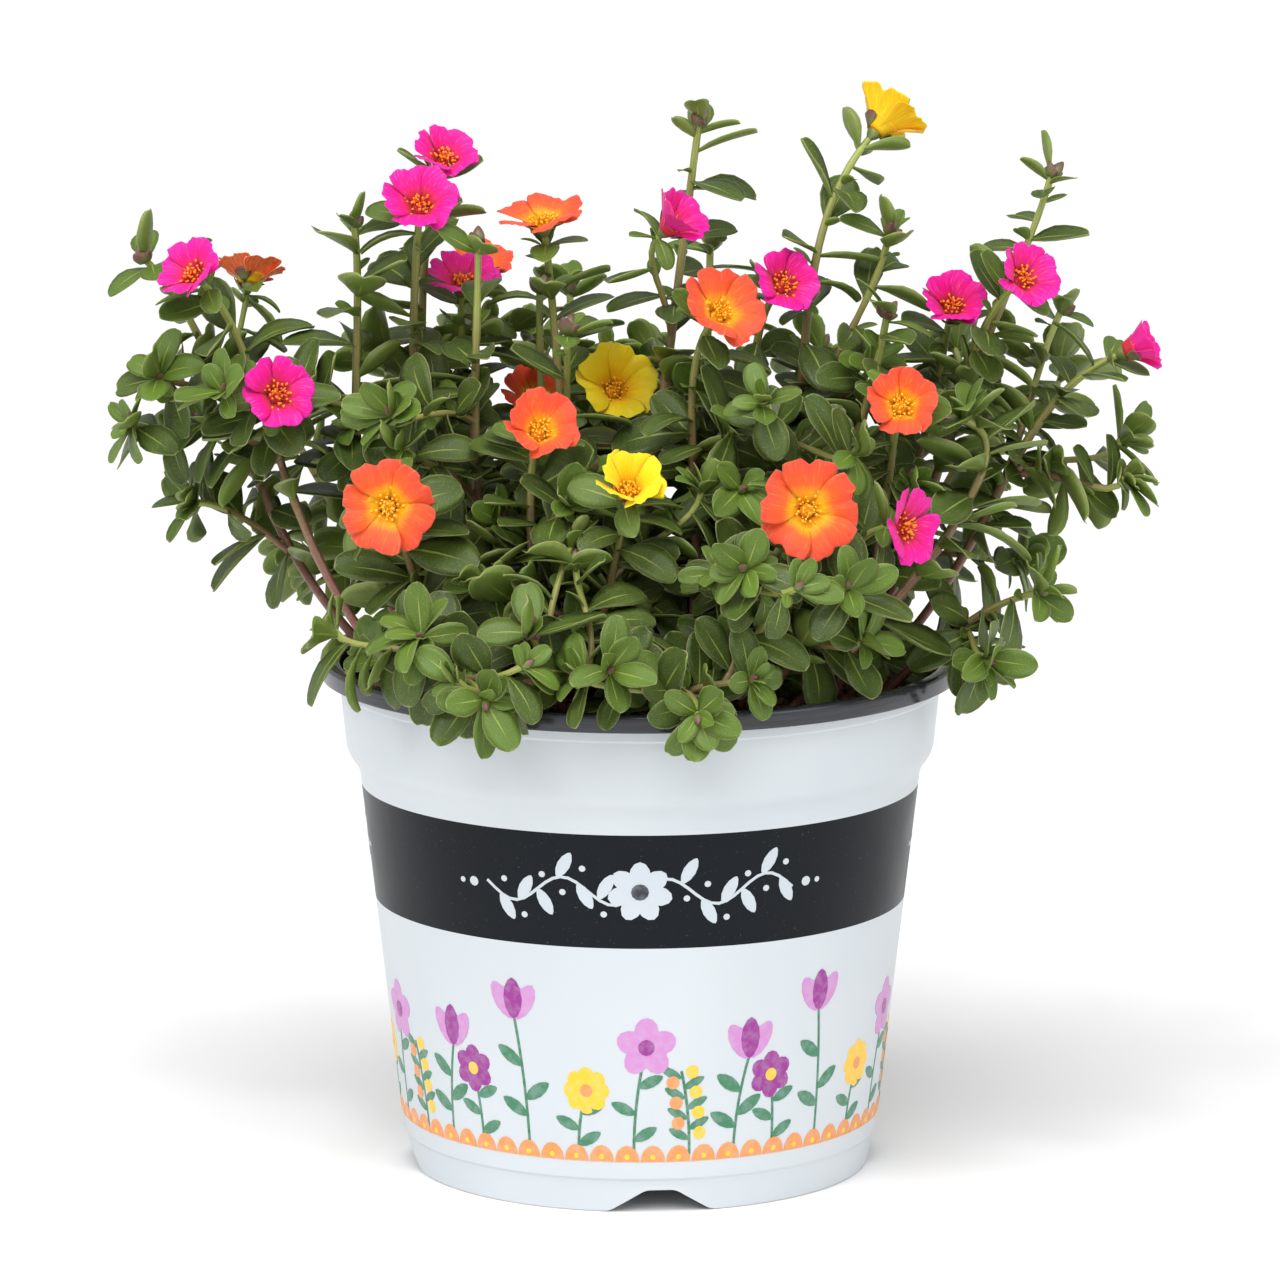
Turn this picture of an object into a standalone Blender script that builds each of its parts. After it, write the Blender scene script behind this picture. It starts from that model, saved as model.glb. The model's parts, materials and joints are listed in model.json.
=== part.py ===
"""A flowering purslane (portulaca) in its nursery pot.

The frame: the pot stands on z = 0 with its axis on the Z axis, and +Z is up. The viewer stands at -Y.
The pot, the potting mix, each leafy stem and each bloom is one closed solid. All sizes below are in
millimetres, and a mesh is scaled to Blender's metres as it is made.
"""

import math
import random
from collections import namedtuple

import bmesh
import bpy
import numpy as np
from mathutils import Matrix, Vector
from mathutils.bvhtree import BVHTree

MILLIMETRE = 0.001
UP = Vector((0, 0, 1))

# The nursery pot: a thin injection-moulded tub with a rolled lip, a collar and a notched foot
POT_HEIGHT = 159.0
LIP_RADIUS = 98.5
LIP_DEPTH = 5.5
LIP_WALL = 1.3
MOUTH_RADIUS = 92.4
COLLAR_BOTTOM = 130.2
COLLAR_FOOT_RADIUS = 90.4
BODY_TOP = 125.2
BODY_TOP_RADIUS = 86.6
BODY_BOTTOM = 11.0
BODY_BOTTOM_RADIUS = 73.3
FOOT_RADIUS = 70.7
FOOT_WALL = 1.9
FLOOR_UNDERSIDE = 7.8
POT_WALL = 1.4
POT_SIDES = 32
NOTCH_COUNT = 4
NOTCH_FIRST_AZIMUTH = 5.0
NOTCH_HEIGHT = 7.2
NOTCH_BOTTOM_WIDTH = 31.0
NOTCH_TOP_WIDTH = 9.0
DRAIN_RADIUS = 5.0
DRAIN_RING_RADIUS = 58.0

# The potting mix fills the pot to a little under the lip
SOIL_TOP = 148.0
SOIL_GAP = 0.4
SOIL_EDGE_DROP = 1.2
HOLE_DEPTH = 11.0
HOLE_CLEARANCE = 0.35
HOLE_SIDES = 4

# Stems
STEM_ROOT_RADIUS = 1.9
STEM_TIP_RADIUS = 1.2
FORK_SHARE = 0.82
STRAIGHT_RISE = 3.5
STEM_SIDES = 4
STEM_RING_STEP = 30.0
STEM_GAP = 0.9
ROOT_PULL = 0.42
TIP_PULL = 0.30
LIP_GAP = 1.2
BARE_SHARE = 0.36
LEAF_STEP = 18.0
WHORL_AT = 0.975

# Leaves: each form is one unit long, so that a leaf is a form, a place and a length
LEAF_THICKNESS = 0.062
PETIOLE_WIDTH = 0.05
WIDEST_SKEW = 1.3
TIP_BLUNTNESS = 0.72
LEAF_GAP = 0.35
LARGE_LEAF = 22.8
LARGE_ROWS = (0.36, 0.74, 0.965)
SMALL_ROWS = (0.66, 0.945)
FULL_ROWS = (0.2, 0.42, 0.62, 0.8, 0.92, 0.985)
Form = namedtuple("Form", "width arch gutter twist")
FORMS = (
    Form(width=0.30, arch=0.35, gutter=0.25, twist=0.00),
    Form(width=0.28, arch=0.75, gutter=0.18, twist=0.20),
    Form(width=0.26, arch=0.15, gutter=0.35, twist=-0.25),
    Form(width=0.32, arch=0.55, gutter=0.12, twist=-0.12),
    Form(width=0.25, arch=1.00, gutter=0.30, twist=0.10),
    Form(width=0.33, arch=-0.20, gutter=0.30, twist=0.05),
)
LIGHT_TURNS_AT = 250.0
LIGHT_TURNS_OVER = 70.0
WHORLS = {"rosette": 4, "bloom": 3, "buds": 2}
TRIES = 20

# Buds
BUD_LENGTH = 6.2
BUD_RADIUS = 1.9
BUD_COUNT = 2

# Blooms
PETALS = 5
BLOOM_GAP = 0.3
OVARY_BOTTOM_RADIUS = 1.2
OVARY_TOP_RADIUS = 2.3
OVARY_HEIGHT = 2.6
PETAL_THICKNESS = 0.9
PETAL_WIDTH = 0.60
PETAL_CLAW = 0.12
CLAW_AT = 0.3
CLAW_ROOM = 0.88
WIDEST_TURN = 46.0
PETAL_OVERLAP = 0.1
LOBE_NOTCH = 0.09
LOBE_NOTCH_WIDTH = 0.2
LOBE_ROUNDING = 0.15
STAMEN_RADIUS = 2.7
STAMEN_HEIGHT = 4.2

# Each shoot: the one it forks from and where, its root on the soil, its tip, the way the tip aims
# (azimuth from the viewer's side, then elevation), its lean at the root from upright, its leaf length
# and what it ends in
Shoot = namedtuple("Shoot", "name parent fork root tip aim lean leaf end")
SHOOTS = (
    Shoot("left_far", None, 0, (-76, 6), (-152, 12, 280), (-70, 45), 52, 22, "buds"),
    Shoot("left_low", "left_far", 0.26, None, (-137, 2, 206), (-75, 5), 0, 23, "rosette"),
    Shoot("left_flower", "left_far", 0.58, None, (-121, 22, 268), (165, 60), 0, 20, "bloom"),
    Shoot("left_front", None, 0, (-68, -27), (-133, -12, 276), (-38, 38), 50, 22, "bloom"),
    Shoot("left_front_side", "left_front", 0.5, None, (-111, -36, 244), (20, 25), 0, 21, "bloom"),
    Shoot("left_upright", None, 0, (-61, -15), (-87, -5, 293), (-90, 84), 42, 21, "buds"),
    Shoot("tall_left", None, 0, (-49, 0), (-67, -12, 297), (5, 42), 30, 21, "bloom"),
    Shoot("tall_left_back", None, 0, (-46, 20), (-61, 14, 307), (20, 52), 25, 21, "bloom"),
    Shoot("left_back_flower", "tall_left_back", 0.45, None, (-51, 50, 268), (30, 66), 0, 20, "bloom"),
    Shoot("left_inner", None, 0, (-30, 34), (-55, 22, 267), (5, 62), 28, 21, "bloom"),
    Shoot("left_inner_front", None, 0, (-40, -22), (-49, -22, 290), (0, 84), 15, 20, "buds"),
    Shoot("brown_upright", None, 0, (-17, 4), (-29, -2, 289), (-25, 74), 8, 20, "bloom"),
    Shoot("centre_bud", "brown_upright", 0.3, None, (-22, -30, 264), (0, 82), 0, 19, "buds"),
    Shoot("centre_back", None, 0, (-19, 24), (-31, 28, 268), (180, 80), 14, 20, "buds"),
    Shoot("centre_back_flower", "centre_back", 0.35, None, (-34, 46, 228), (20, 45), 0, 20, "bloom"),
    Shoot("centre_low_flower", None, 0, (-33, -43), (-31, -56, 235), (12, 38), 25, 23, "bloom"),
    Shoot("yellow_inner", None, 0, (2, 30), (-9, 22, 236), (14, 32), 20, 22, "bloom"),
    Shoot("tallest", None, 0, (-6, -9), (18, 0, 324), (20, 70), 10, 20, "buds"),
    Shoot("tallest_side", "tallest", 0.56, None, (6, -9, 290), (62, 42), 0, 17, "bloom"),
    Shoot("centre_right", None, 0, (13, -19), (22, -31, 267), (30, 36), 22, 24, "bloom"),
    Shoot("centre_right_back", None, 0, (22, 9), (42, -2, 272), (25, 32), 20, 21, "bloom"),
    Shoot("yellow_tall", None, 0, (34, 24), (70, 12, 317), (125, 42), 22, 21, "bloom"),
    Shoot("right_bud", "yellow_tall", 0.34, None, (76, -2, 290), (30, 72), 0, 21, "buds"),
    Shoot("right_inner", None, 0, (30, -26), (75, -20, 268), (20, 68), 30, 21, "buds"),
    Shoot("right_rosette", "right_inner", 0.36, None, (37, -56, 246), (5, 25), 0, 17, "rosette"),
    Shoot("right_flower", None, 0, (50, 20), (95, 5, 263), (8, 46), 45, 21, "bloom"),
    Shoot("right_high", None, 0, (58, -8), (114, -11, 275), (35, 32), 42, 21, "bloom"),
    Shoot("right_high_bud", "right_high", 0.5, None, (126, 12, 306), (90, 74), 0, 17, "buds"),
    Shoot("right_far", None, 0, (71, 6), (146, 5, 251), (84, 24), 48, 19, "bloom"),
    Shoot("right_far_bud", "right_far", 0.5, None, (130, 26, 262), (100, 65), 0, 15, "buds"),
    Shoot("right_mid", None, 0, (58, -33), (78, -46, 242), (6, 30), 30, 23, "bloom"),
    Shoot("front_right_big", None, 0, (8, -55), (49, -84, 218), (9, 14), 48, 23, "bloom"),
    Shoot("front_right_rosette", "front_right_big", 0.4, None, (23, -92, 201), (0, 25), 0, 15, "rosette"),
    Shoot("front_right", None, 0, (32, -56), (75, -71, 211), (52, 6), 50, 21, "bloom"),
    Shoot("front_yellow", None, 0, (-20, -56), (-4, -72, 219), (10, 46), 26, 23, "bloom"),
    Shoot("front_left_big", None, 0, (-52, -40), (-75, -69, 217), (-2, 6), 40, 22, "bloom"),
    Shoot("arching", None, 0, (42, -66), (96, -37, 238), (-70, 10), 55, 24, "rosette"),
    Shoot("front_hanging", None, 0, (7, -70), (17, -108, 161), (4, 0), 50, 19, "rosette"),
    Shoot("front_hanging_side", "front_hanging", 0.42, None, (33, -99, 170), (18, 20), 0, 16, "rosette"),
    Shoot("left_rosette", None, 0, (-55, -57), (-65, -94, 182), (-8, 22), 45, 21, "rosette"),
    Shoot("left_hanging", "left_rosette", 0.4, None, (-46, -106, 165), (12, -28), 0, 22, "rosette"),
    Shoot("right_low", None, 0, (74, -27), (121, -32, 184), (75, 20), 58, 21, "rosette"),
    Shoot("right_hanging", "right_low", 0.45, None, (104, -50, 167), (50, -12), 0, 21, "rosette"),
    Shoot("front_centre", None, 0, (-22, -74), (-32, -99, 184), (-5, 30), 35, 26, "buds"),
    Shoot("front_centre_side", "front_centre", 0.35, None, (-9, -105, 174), (8, 15), 0, 22, "rosette"),
    Shoot("back_left", None, 0, (-44, 56), (-72, 92, 232), (200, 45), 35, 22, "buds"),
    Shoot("back_left_low", "back_left", 0.3, None, (-60, 105, 178), (205, 5), 0, 22, "rosette"),
    Shoot("back_middle", None, 0, (-6, 58), (-10, 100, 238), (180, 45), 30, 22, "buds"),
    Shoot("back_middle_high", "back_middle", 0.3, None, (-22, 66, 262), (185, 75), 0, 20, "buds"),
    Shoot("back_right", None, 0, (34, 54), (58, 96, 240), (160, 45), 32, 22, "buds"),
    Shoot("back_right_low", "back_right", 0.3, None, (28, 109, 180), (172, 0), 0, 22, "rosette"),
    Shoot("side_left_back", None, 0, (-66, 36), (-116, 62, 226), (235, 40), 45, 22, "rosette"),
    Shoot("side_left_back_low", "side_left_back", 0.35, None, (-104, 74, 178), (235, 0), 0, 22, "rosette"),
    Shoot("side_right_back", None, 0, (64, 40), (110, 68, 222), (130, 40), 45, 22, "rosette"),
    Shoot("side_right_low", "side_right_back", 0.35, None, (118, 44, 180), (110, 0), 0, 22, "rosette"),
    Shoot("high_back", None, 0, (16, 42), (22, 60, 278), (170, 78), 15, 20, "buds"),
)

# Each bloom: the shoot that carries it, its colour, its petal length, how far it opens at the petal's
# root and edge (degrees from its axis) and how it is turned about its axis
Bloom = namedtuple("Bloom", "shoot colour petal root_angle edge_angle turn")
BLOOMS = (
    Bloom("left_front", "magenta", 10.7, 25, 75, 10),
    Bloom("tall_left_back", "magenta", 10.4, 25, 75, 40),
    Bloom("tall_left", "magenta", 11.5, 30, 80, 0),
    Bloom("left_front_side", "magenta", 10.7, 35, 85, 20),
    Bloom("left_inner", "magenta", 11.5, 25, 80, 55),
    Bloom("tallest_side", "magenta", 12.0, 20, 50, 30),
    Bloom("centre_right_back", "magenta", 10.6, 30, 75, 65),
    Bloom("right_flower", "magenta", 11.0, 25, 65, 5),
    Bloom("right_high", "magenta", 10.8, 30, 75, 35),
    Bloom("right_far", "magenta", 10.5, 15, 40, 50),
    Bloom("front_right", "magenta", 11.0, 35, 80, 15),
    Bloom("left_flower", "orange", 10.5, 30, 75, 25),
    Bloom("brown_upright", "orange", 12.4, 40, 95, 60),
    Bloom("left_back_flower", "orange", 10.5, 30, 75, 0),
    Bloom("centre_right", "orange", 13.2, 30, 75, 45),
    Bloom("right_mid", "orange", 10.8, 30, 75, 10),
    Bloom("front_left_big", "orange", 12.8, 45, 95, 0),
    Bloom("centre_low_flower", "orange", 12.3, 25, 65, 30),
    Bloom("front_right_big", "orange", 14.0, 45, 90, 50),
    Bloom("centre_back_flower", "orange", 11.0, 30, 75, 20),
    Bloom("yellow_tall", "yellow", 14.0, 20, 60, 5),
    Bloom("front_yellow", "yellow", 13.0, 18, 50, 40),
    Bloom("yellow_inner", "yellow", 13.5, 30, 75, 15),
)

# Colours, linear RGB
COLOURS = {
    "pot": (0.72, 0.76, 0.80),
    "soil": (0.055, 0.028, 0.014),
    "stem": (0.085, 0.150, 0.045),
    "magenta": (0.85, 0.01, 0.36),
    "orange": (0.93, 0.11, 0.03),
    "yellow": (0.95, 0.55, 0.01),
}
ROUGHNESS = {"pot": 0.35, "soil": 0.95}


# Growth rules: the course of each stem, and the place of each leaf and bud
Leaf = namedtuple("Leaf", "form length matrix")


def direction(azimuth, elevation):
    """The unit vector at an azimuth from the viewer's side, turning to +X, and an elevation."""
    a = math.radians(azimuth)
    e = math.radians(elevation)
    return Vector((math.sin(a) * math.cos(e), -math.cos(a) * math.cos(e), math.sin(e)))


def bezier(points, t):
    u = 1 - t
    a, b, c, d = points
    return a * (u * u * u) + b * (3 * u * u * t) + c * (3 * u * t * t) + d * (t * t * t)


def tangent(points, t):
    u = 1 - t
    a, b, c, d = points
    return ((b - a) * (u * u) + (c - b) * (2 * u * t) + (d - c) * (t * t)).normalized()


def first_course(shoot, courses):
    """The four control points of a shoot as it would grow with nothing in its way."""
    tip = Vector(shoot.tip)
    aim = direction(*shoot.aim)
    if shoot.parent:
        start = bezier(courses[shoot.parent], shoot.fork)
        toward = (tip - start).normalized()
        away = (toward + tangent(courses[shoot.parent], shoot.fork) * 0.6).normalized()
    else:
        start = Vector((*shoot.root, SOIL_TOP + STRAIGHT_RISE))
        across = Vector((tip.x - start.x, tip.y - start.y, 0)).normalized()
        lean = math.radians(shoot.lean)
        away = across * math.sin(lean) + UP * math.cos(lean)
    reach = (tip - start).length
    return [start, start + away * (reach * ROOT_PULL), tip - aim * (reach * TIP_PULL), tip]


def stem_radius(shoot, t):
    root = STEM_ROOT_RADIUS
    if shoot.parent:
        root = stem_radius(shoot_named(shoot.parent), shoot.fork) * FORK_SHARE
    return root + (STEM_TIP_RADIUS - root) * t


def shoot_named(name):
    return next(shoot for shoot in SHOOTS if shoot.name == name)


def bend_clear(courses, rounds=60, samples=18):
    """Bends the middles of the stems until none runs into another, a bloom or the lip of the pot."""
    carries = {bloom.shoot: bloom for bloom in BLOOMS}
    steps = [(i + 0.5) / samples for i in range(samples)]
    kin = {shoot.name: shoot.parent or shoot.name for shoot in SHOOTS}
    for _ in range(rounds):
        for shoot in SHOOTS:
            if shoot.parent:
                course = courses[shoot.name]
                start = bezier(courses[shoot.parent], shoot.fork)
                shift = start - course[0]
                course[0] = start
                course[1] = course[1] + shift
        rows = [(s, t, bezier(courses[s.name], t), stem_radius(s, t)) for s in SHOOTS for t in steps]
        balls = []
        for name, bloom in carries.items():
            shoot = shoot_named(name)
            centre = Vector(shoot.tip) + direction(*shoot.aim) * (bloom.petal * 0.45)
            balls.append((shoot, 1.0, centre, bloom.petal * 0.75))
        everything = rows + balls
        places = np.array([row[2][:] for row in everything])
        radii = np.array([row[3] for row in everything])
        moved = False
        for i, (shoot, t, place, radius) in enumerate(rows):
            away = places[i] - places
            distance = np.sqrt((away * away).sum(axis=1))
            lack = radii[i] + radii + STEM_GAP - distance
            for j in np.nonzero(lack > 0)[0]:
                other = everything[j][0]
                if other is shoot or (kin[other.name] == kin[shoot.name] and j < len(rows)):
                    continue
                push = Vector(away[j]) / max(distance[j], 0.01)
                nudge(courses[shoot.name], t, push * (float(lack[j]) * 0.6))
                moved = True
            out = math.hypot(place.x, place.y)
            low = POT_HEIGHT + LIP_GAP + radius - place.z
            if MOUTH_RADIUS - 3 - radius < out < LIP_RADIUS + 2 + radius and low > 0:
                nudge(courses[shoot.name], t, UP * (low * 0.8))
                moved = True
        if not moved:
            break


def nudge(course, t, push):
    """Moves a course's two middle control points so that its point at t goes about as far as push."""
    near_root = 3 * (1 - t) * (1 - t) * t
    near_tip = 3 * (1 - t) * t * t
    share = near_root * near_root + near_tip * near_tip + 0.05
    course[1] = course[1] + push * (near_root / share)
    course[2] = course[2] + push * (near_tip / share)


def stem_courses():
    courses = {}
    for shoot in SHOOTS:
        courses[shoot.name] = first_course(shoot, courses)
    bend_clear(courses)
    for shoot in SHOOTS:
        if shoot.parent:
            rings = stem_rings(shoot_named(shoot.parent), courses[shoot.parent])
            courses[shoot.name][0] = on_stem(rings, shoot.fork)[0]
    return courses


def even_places(course, first, last, step, least=1):
    """Shares of a course, evenly spaced by length between two shares of its length."""
    samples = 60
    points = [bezier(course, i / samples) for i in range(samples + 1)]
    run = [0.0]
    for a, b in zip(points, points[1:]):
        run.append(run[-1] + (b - a).length)
    count = max(least, round((last - first) * run[-1] / step))
    places = []
    for k in range(count + 1):
        wanted = run[-1] * (first + (last - first) * k / count)
        i = next(i for i in range(samples) if run[i + 1] >= wanted - 1e-6)
        places.append((i + (wanted - run[i]) / (run[i + 1] - run[i])) / samples)
    return places


Ring = namedtuple("Ring", "t place along across radius")


def stem_rings(shoot, course):
    """The rings of the stem's tube, with a direction across each that is carried on without twist."""
    rings = []
    if not shoot.parent:
        below = Vector((course[0].x, course[0].y, SOIL_TOP - HOLE_DEPTH + 1))
        rings.append(Ring(-1.0, below, UP, UP.orthogonal().normalized(), STEM_ROOT_RADIUS))
    for t in even_places(course, 0, 1, STEM_RING_STEP, least=3):
        along = UP if t == 0 and not shoot.parent else tangent(course, t)
        across = rings[-1].across if rings else along.orthogonal()
        across = (across - along * across.dot(along)).normalized()
        rings.append(Ring(t, bezier(course, t), along, across, stem_radius(shoot, t)))
    return rings


def on_stem(rings, t):
    """The middle of the tube at t, the way it runs there and a direction across it."""
    below, above = next((a, b) for a, b in zip(rings, rings[1:]) if b.t >= t)
    share = (t - below.t) / (above.t - below.t)
    along = (above.place - below.place).normalized()
    across = below.across.lerp(above.across, share)
    across = (across - along * across.dot(along)).normalized()
    return below.place.lerp(above.place, share), along, across


def blade_point(form, s, across, height=0.0):
    """A point of a leaf one unit long: s runs from root to tip, across from edge to edge."""
    half = form.width * max(math.sin(math.pi * min(s, 1.0) ** WIDEST_SKEW), 0.0) ** TIP_BLUNTNESS
    half = max(half, PETIOLE_WIDTH * min(1.0, 14 * (1 - s)))
    bend = form.arch * s
    if abs(form.arch) > 1e-6:
        middle = Vector((math.sin(bend) / form.arch, 0, (math.cos(bend) - 1) / form.arch))
    else:
        middle = Vector((s, 0, 0))
    above = Vector((math.sin(bend), 0, math.cos(bend)))
    turn = form.twist * s
    side = Vector((0, math.cos(turn), 0)) + above * math.sin(turn)
    above = above * math.cos(turn) - Vector((0, math.sin(turn), 0))
    lift = form.gutter * half * across * across + height
    return middle + side * (half * across) + above * lift


def blade(form, rows, puff=0.0):
    """A leaf's faceted solid, one unit long: an upright root edge, then rings of left edge, top, right
    edge and underside, then the edge at the tip. Puff, in leaf lengths, swells it for the test that
    keeps it clear of the others, which takes the full outline's rows."""
    half = LEAF_THICKNESS / 2 + puff
    wide = 1 + puff / form.width
    points = [blade_point(form, 0, 0, half), blade_point(form, 0, 0, -half)]
    for s in rows[:-1]:
        points += [
            blade_point(form, s, -wide),
            blade_point(form, s, 0, half),
            blade_point(form, s, wide),
            blade_point(form, s, 0, -half),
        ]
    end = len(points)
    points += [blade_point(form, rows[-1], -wide), blade_point(form, rows[-1], wide)]
    faces = [(0, 2, 3), (0, 3, 4), (1, 5, 2), (1, 4, 5), (0, 1, 2), (0, 4, 1)]
    for a in range(2, end - 4, 4):
        for k in range(4):
            faces.append((a + k, a + 4 + k, a + 4 + (k + 1) % 4, a + (k + 1) % 4))
    a = end - 4
    faces += [(a, end, a + 1), (a + 1, end, end + 1), (a + 1, end + 1, a + 2)]
    faces += [(a + 2, end + 1, a + 3), (a + 3, end + 1, end), (a + 3, end, a)]
    return points, triangles(faces)


def bud():
    """A bud one unit long: a four-sided spindle."""
    wide = BUD_RADIUS / BUD_LENGTH
    ring = [Vector((0.45, wide * math.cos(a), wide * math.sin(a))) for a in turns_of(4)]
    points = [Vector((0, 0, 0))] + ring + [Vector((1, 0, 0))]
    faces = [(0, 1 + (k + 1) % 4, 1 + k) for k in range(4)]
    faces += [(5, 1 + k, 1 + (k + 1) % 4) for k in range(4)]
    return points, faces


def turns_of(count, start=0.0):
    return [start + 2 * math.pi * k / count for k in range(count)]


def triangles(faces):
    """Faces as triangles, each fanned from its first corner."""
    return [(face[0], face[k], face[k + 1]) for face in faces for k in range(1, len(face) - 1)]


def light_at(place):
    """The way the light comes from: above, and for the low outer leaves from outside too."""
    low = min(max((LIGHT_TURNS_AT - place.z) / LIGHT_TURNS_OVER, 0.25), 1.3)
    return UP * 0.8 + Vector((place.x, place.y, 0)) * (low / LIP_RADIUS)


def leaf_matrix(place, along, side, lift, roll, length):
    """Where a leaf lies: rooted in the stem, grown to its side, lifted along it, its top to the light."""
    out = side * math.cos(lift) + along * math.sin(lift)
    above = along * math.cos(lift) - side * math.sin(lift) + light_at(place)
    above = (above - out * above.dot(out)).normalized()
    above = Matrix.Rotation(roll, 3, out) @ above
    left = above.cross(out)
    turned = Matrix((out * length, left * length, above * length)).transposed().to_4x4()
    return Matrix.Translation(place) @ turned


class Space:
    """What already stands in the bush, so that each new leaf is grown clear of it."""

    def __init__(self):
        self.items = []

    def add(self, owner, points, faces, free=None):
        """Free: the faces of a leaf beyond its root. They keep clear of its own plant's other leaves."""
        whole = BVHTree.FromPolygons(points, faces)
        outer = BVHTree.FromPolygons(points, free) if free else None
        self.items.append((owner, *box_of(points), whole, outer))

    def clear(self, owner, points, faces, free=None):
        low, high = box_of(points)
        whole = outer = None
        for held, its_low, its_high, its_whole, its_outer in self.items:
            if held == owner and not (free and its_outer):
                continue
            if any(low[k] > its_high[k] or high[k] < its_low[k] for k in range(3)):
                continue
            if held == owner:
                outer = outer or BVHTree.FromPolygons(points, free)
                crossing = outer.overlap(its_outer)
            else:
                whole = whole or BVHTree.FromPolygons(points, faces)
                crossing = whole.overlap(its_whole)
            if crossing:
                return False
        return True


def box_of(points):
    return [min(p[k] for p in points) for k in range(3)], [max(p[k] for p in points) for k in range(3)]


def clear_of_pot(point):
    out = math.hypot(point.x, point.y)
    if out > LIP_RADIUS + 1.0:
        return True
    return point.z > (POT_HEIGHT if out > MOUTH_RADIUS - 1.5 else SOIL_TOP) + 0.8


def transformed(matrix, points):
    return [matrix @ p for p in points]


def lip_samples(form, matrix):
    """Points all over a leaf, close enough that the lip of the pot can't pass between them."""
    return [matrix @ blade_point(form, i / 8, v) for i in range(2, 9) for v in (-1, 0, 1)]


def grow_leaf(space, owner, place, along, across, facet, lift, length, rng):
    """The first pose of a leaf, near the one asked for, that is clear of what already stands. It grows
    out of the middle of one of the stem's flats."""
    form = rng.randrange(len(FORMS))
    roll = rng.uniform(-0.6, 0.6)
    swing = rng.uniform(-0.06, 0.06)
    for attempt in range(TRIES):
        aside, again = attempt % STEM_SIDES, attempt // STEM_SIDES
        step = (aside + 1) // 2 * (1 if aside % 2 else -1)
        turn = 2 * math.pi * (facet + step + 0.5) / STEM_SIDES + swing
        side = Matrix.Rotation(turn, 3, along) @ across
        size = length * (1 - 0.08 * again)
        matrix = leaf_matrix(place, along, side, lift + (0, 0.3, -0.3, 0.6, -0.6)[again], roll, size)
        if not all(clear_of_pot(p) for p in lip_samples(FORMS[form], matrix)):
            continue
        points, faces = blade(FORMS[form], FULL_ROWS, LEAF_GAP / size)
        points = transformed(matrix, points)
        free = [face for face in faces if min(face) >= 2]
        if space.clear(owner, points, faces, free):
            space.add(owner, points, faces, free)
            return Leaf(form, size, matrix)
    return None


def grow_leaves(courses):
    """The leaves and buds of every shoot, each clear of the other stems, blooms and leaves."""
    space = Space()
    for shoot in SHOOTS:
        space.add(plant_of(shoot), *tube_mesh(stem_rings(shoot, courses[shoot.name])))
    for bloom in BLOOMS:
        points, faces = bloom_mesh(bloom)
        space.add("bloom", transformed(bloom_matrix(shoot_named(bloom.shoot)), points), faces)
    leaves = {shoot.name: [] for shoot in SHOOTS}
    buds = {shoot.name: [] for shoot in SHOOTS}
    for number, shoot in enumerate(SHOOTS):
        rng = random.Random(100 + number)
        course = courses[shoot.name]
        rings = stem_rings(shoot, course)
        owner = plant_of(shoot)
        if shoot.end == "buds":
            buds[shoot.name] = grow_buds(space, owner, rings[-1], rng)
        places = even_places(course, BARE_SHARE, WHORL_AT, LEAF_STEP)
        facet = rng.randrange(STEM_SIDES)
        for t in reversed(places):
            whorl = t == places[-1]
            place, along, across = on_stem(rings, t)
            for _ in range(WHORLS[shoot.end] if whorl else 1):
                facet += 1 if whorl else 2
                size = shoot.leaf * (rng.uniform(0.62, 0.85) if whorl else rng.uniform(0.9, 1.15))
                lift = rng.uniform(0.25, 0.65) if whorl else rng.uniform(-0.1, 0.7)
                leaf = grow_leaf(space, owner, place, along, across, facet, lift, size, rng)
                if leaf:
                    leaves[shoot.name].append(leaf)
    return leaves, buds


def grow_buds(space, owner, tip, rng):
    found = []
    points, faces = bud()
    for k in range(BUD_COUNT):
        turn = 2 * math.pi * k / BUD_COUNT + rng.uniform(0, 0.8)
        side = Matrix.Rotation(turn, 3, tip.along) @ tip.across
        size = BUD_LENGTH * rng.uniform(0.75, 1.05)
        place = tip.place - tip.along * 0.8
        matrix = leaf_matrix(place, tip.along, side, rng.uniform(0.75, 1.15), 0, size)
        placed = transformed(matrix, points)
        if space.clear(owner, placed, faces):
            space.add(owner, placed, faces)
            found.append(matrix)
    return found


def plant_of(shoot):
    """The shoot that comes out of the soil and carries this one."""
    return shoot.parent or shoot.name


def tube_mesh(rings):
    """A stem as a tube with flat sides through its rings, closed at both ends."""
    points = []
    for ring in rings:
        beside = ring.along.cross(ring.across)
        for a in turns_of(STEM_SIDES):
            points.append(ring.place + (ring.across * math.cos(a) + beside * math.sin(a)) * ring.radius)
    faces = [tuple(reversed(range(STEM_SIDES)))]
    for a in range(0, len(points) - STEM_SIDES, STEM_SIDES):
        for k in range(STEM_SIDES):
            n = (k + 1) % STEM_SIDES
            faces.append((a + k, a + n, a + STEM_SIDES + n, a + STEM_SIDES + k))
    faces.append(tuple(range(len(points) - STEM_SIDES, len(points))))
    return points, triangles(faces)


def petal_middle(bloom, s):
    """Distance from the bloom's axis and height of a petal's middle line at s, with its slope."""
    start = math.radians(bloom.root_angle)
    change = math.radians(bloom.edge_angle) - start
    angle = start + change * s
    out = OVARY_TOP_RADIUS + bloom.petal * (math.cos(start) - math.cos(angle)) / change
    up = OVARY_HEIGHT + bloom.petal * (math.sin(angle) - math.sin(start)) / change
    return out, up, angle


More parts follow.
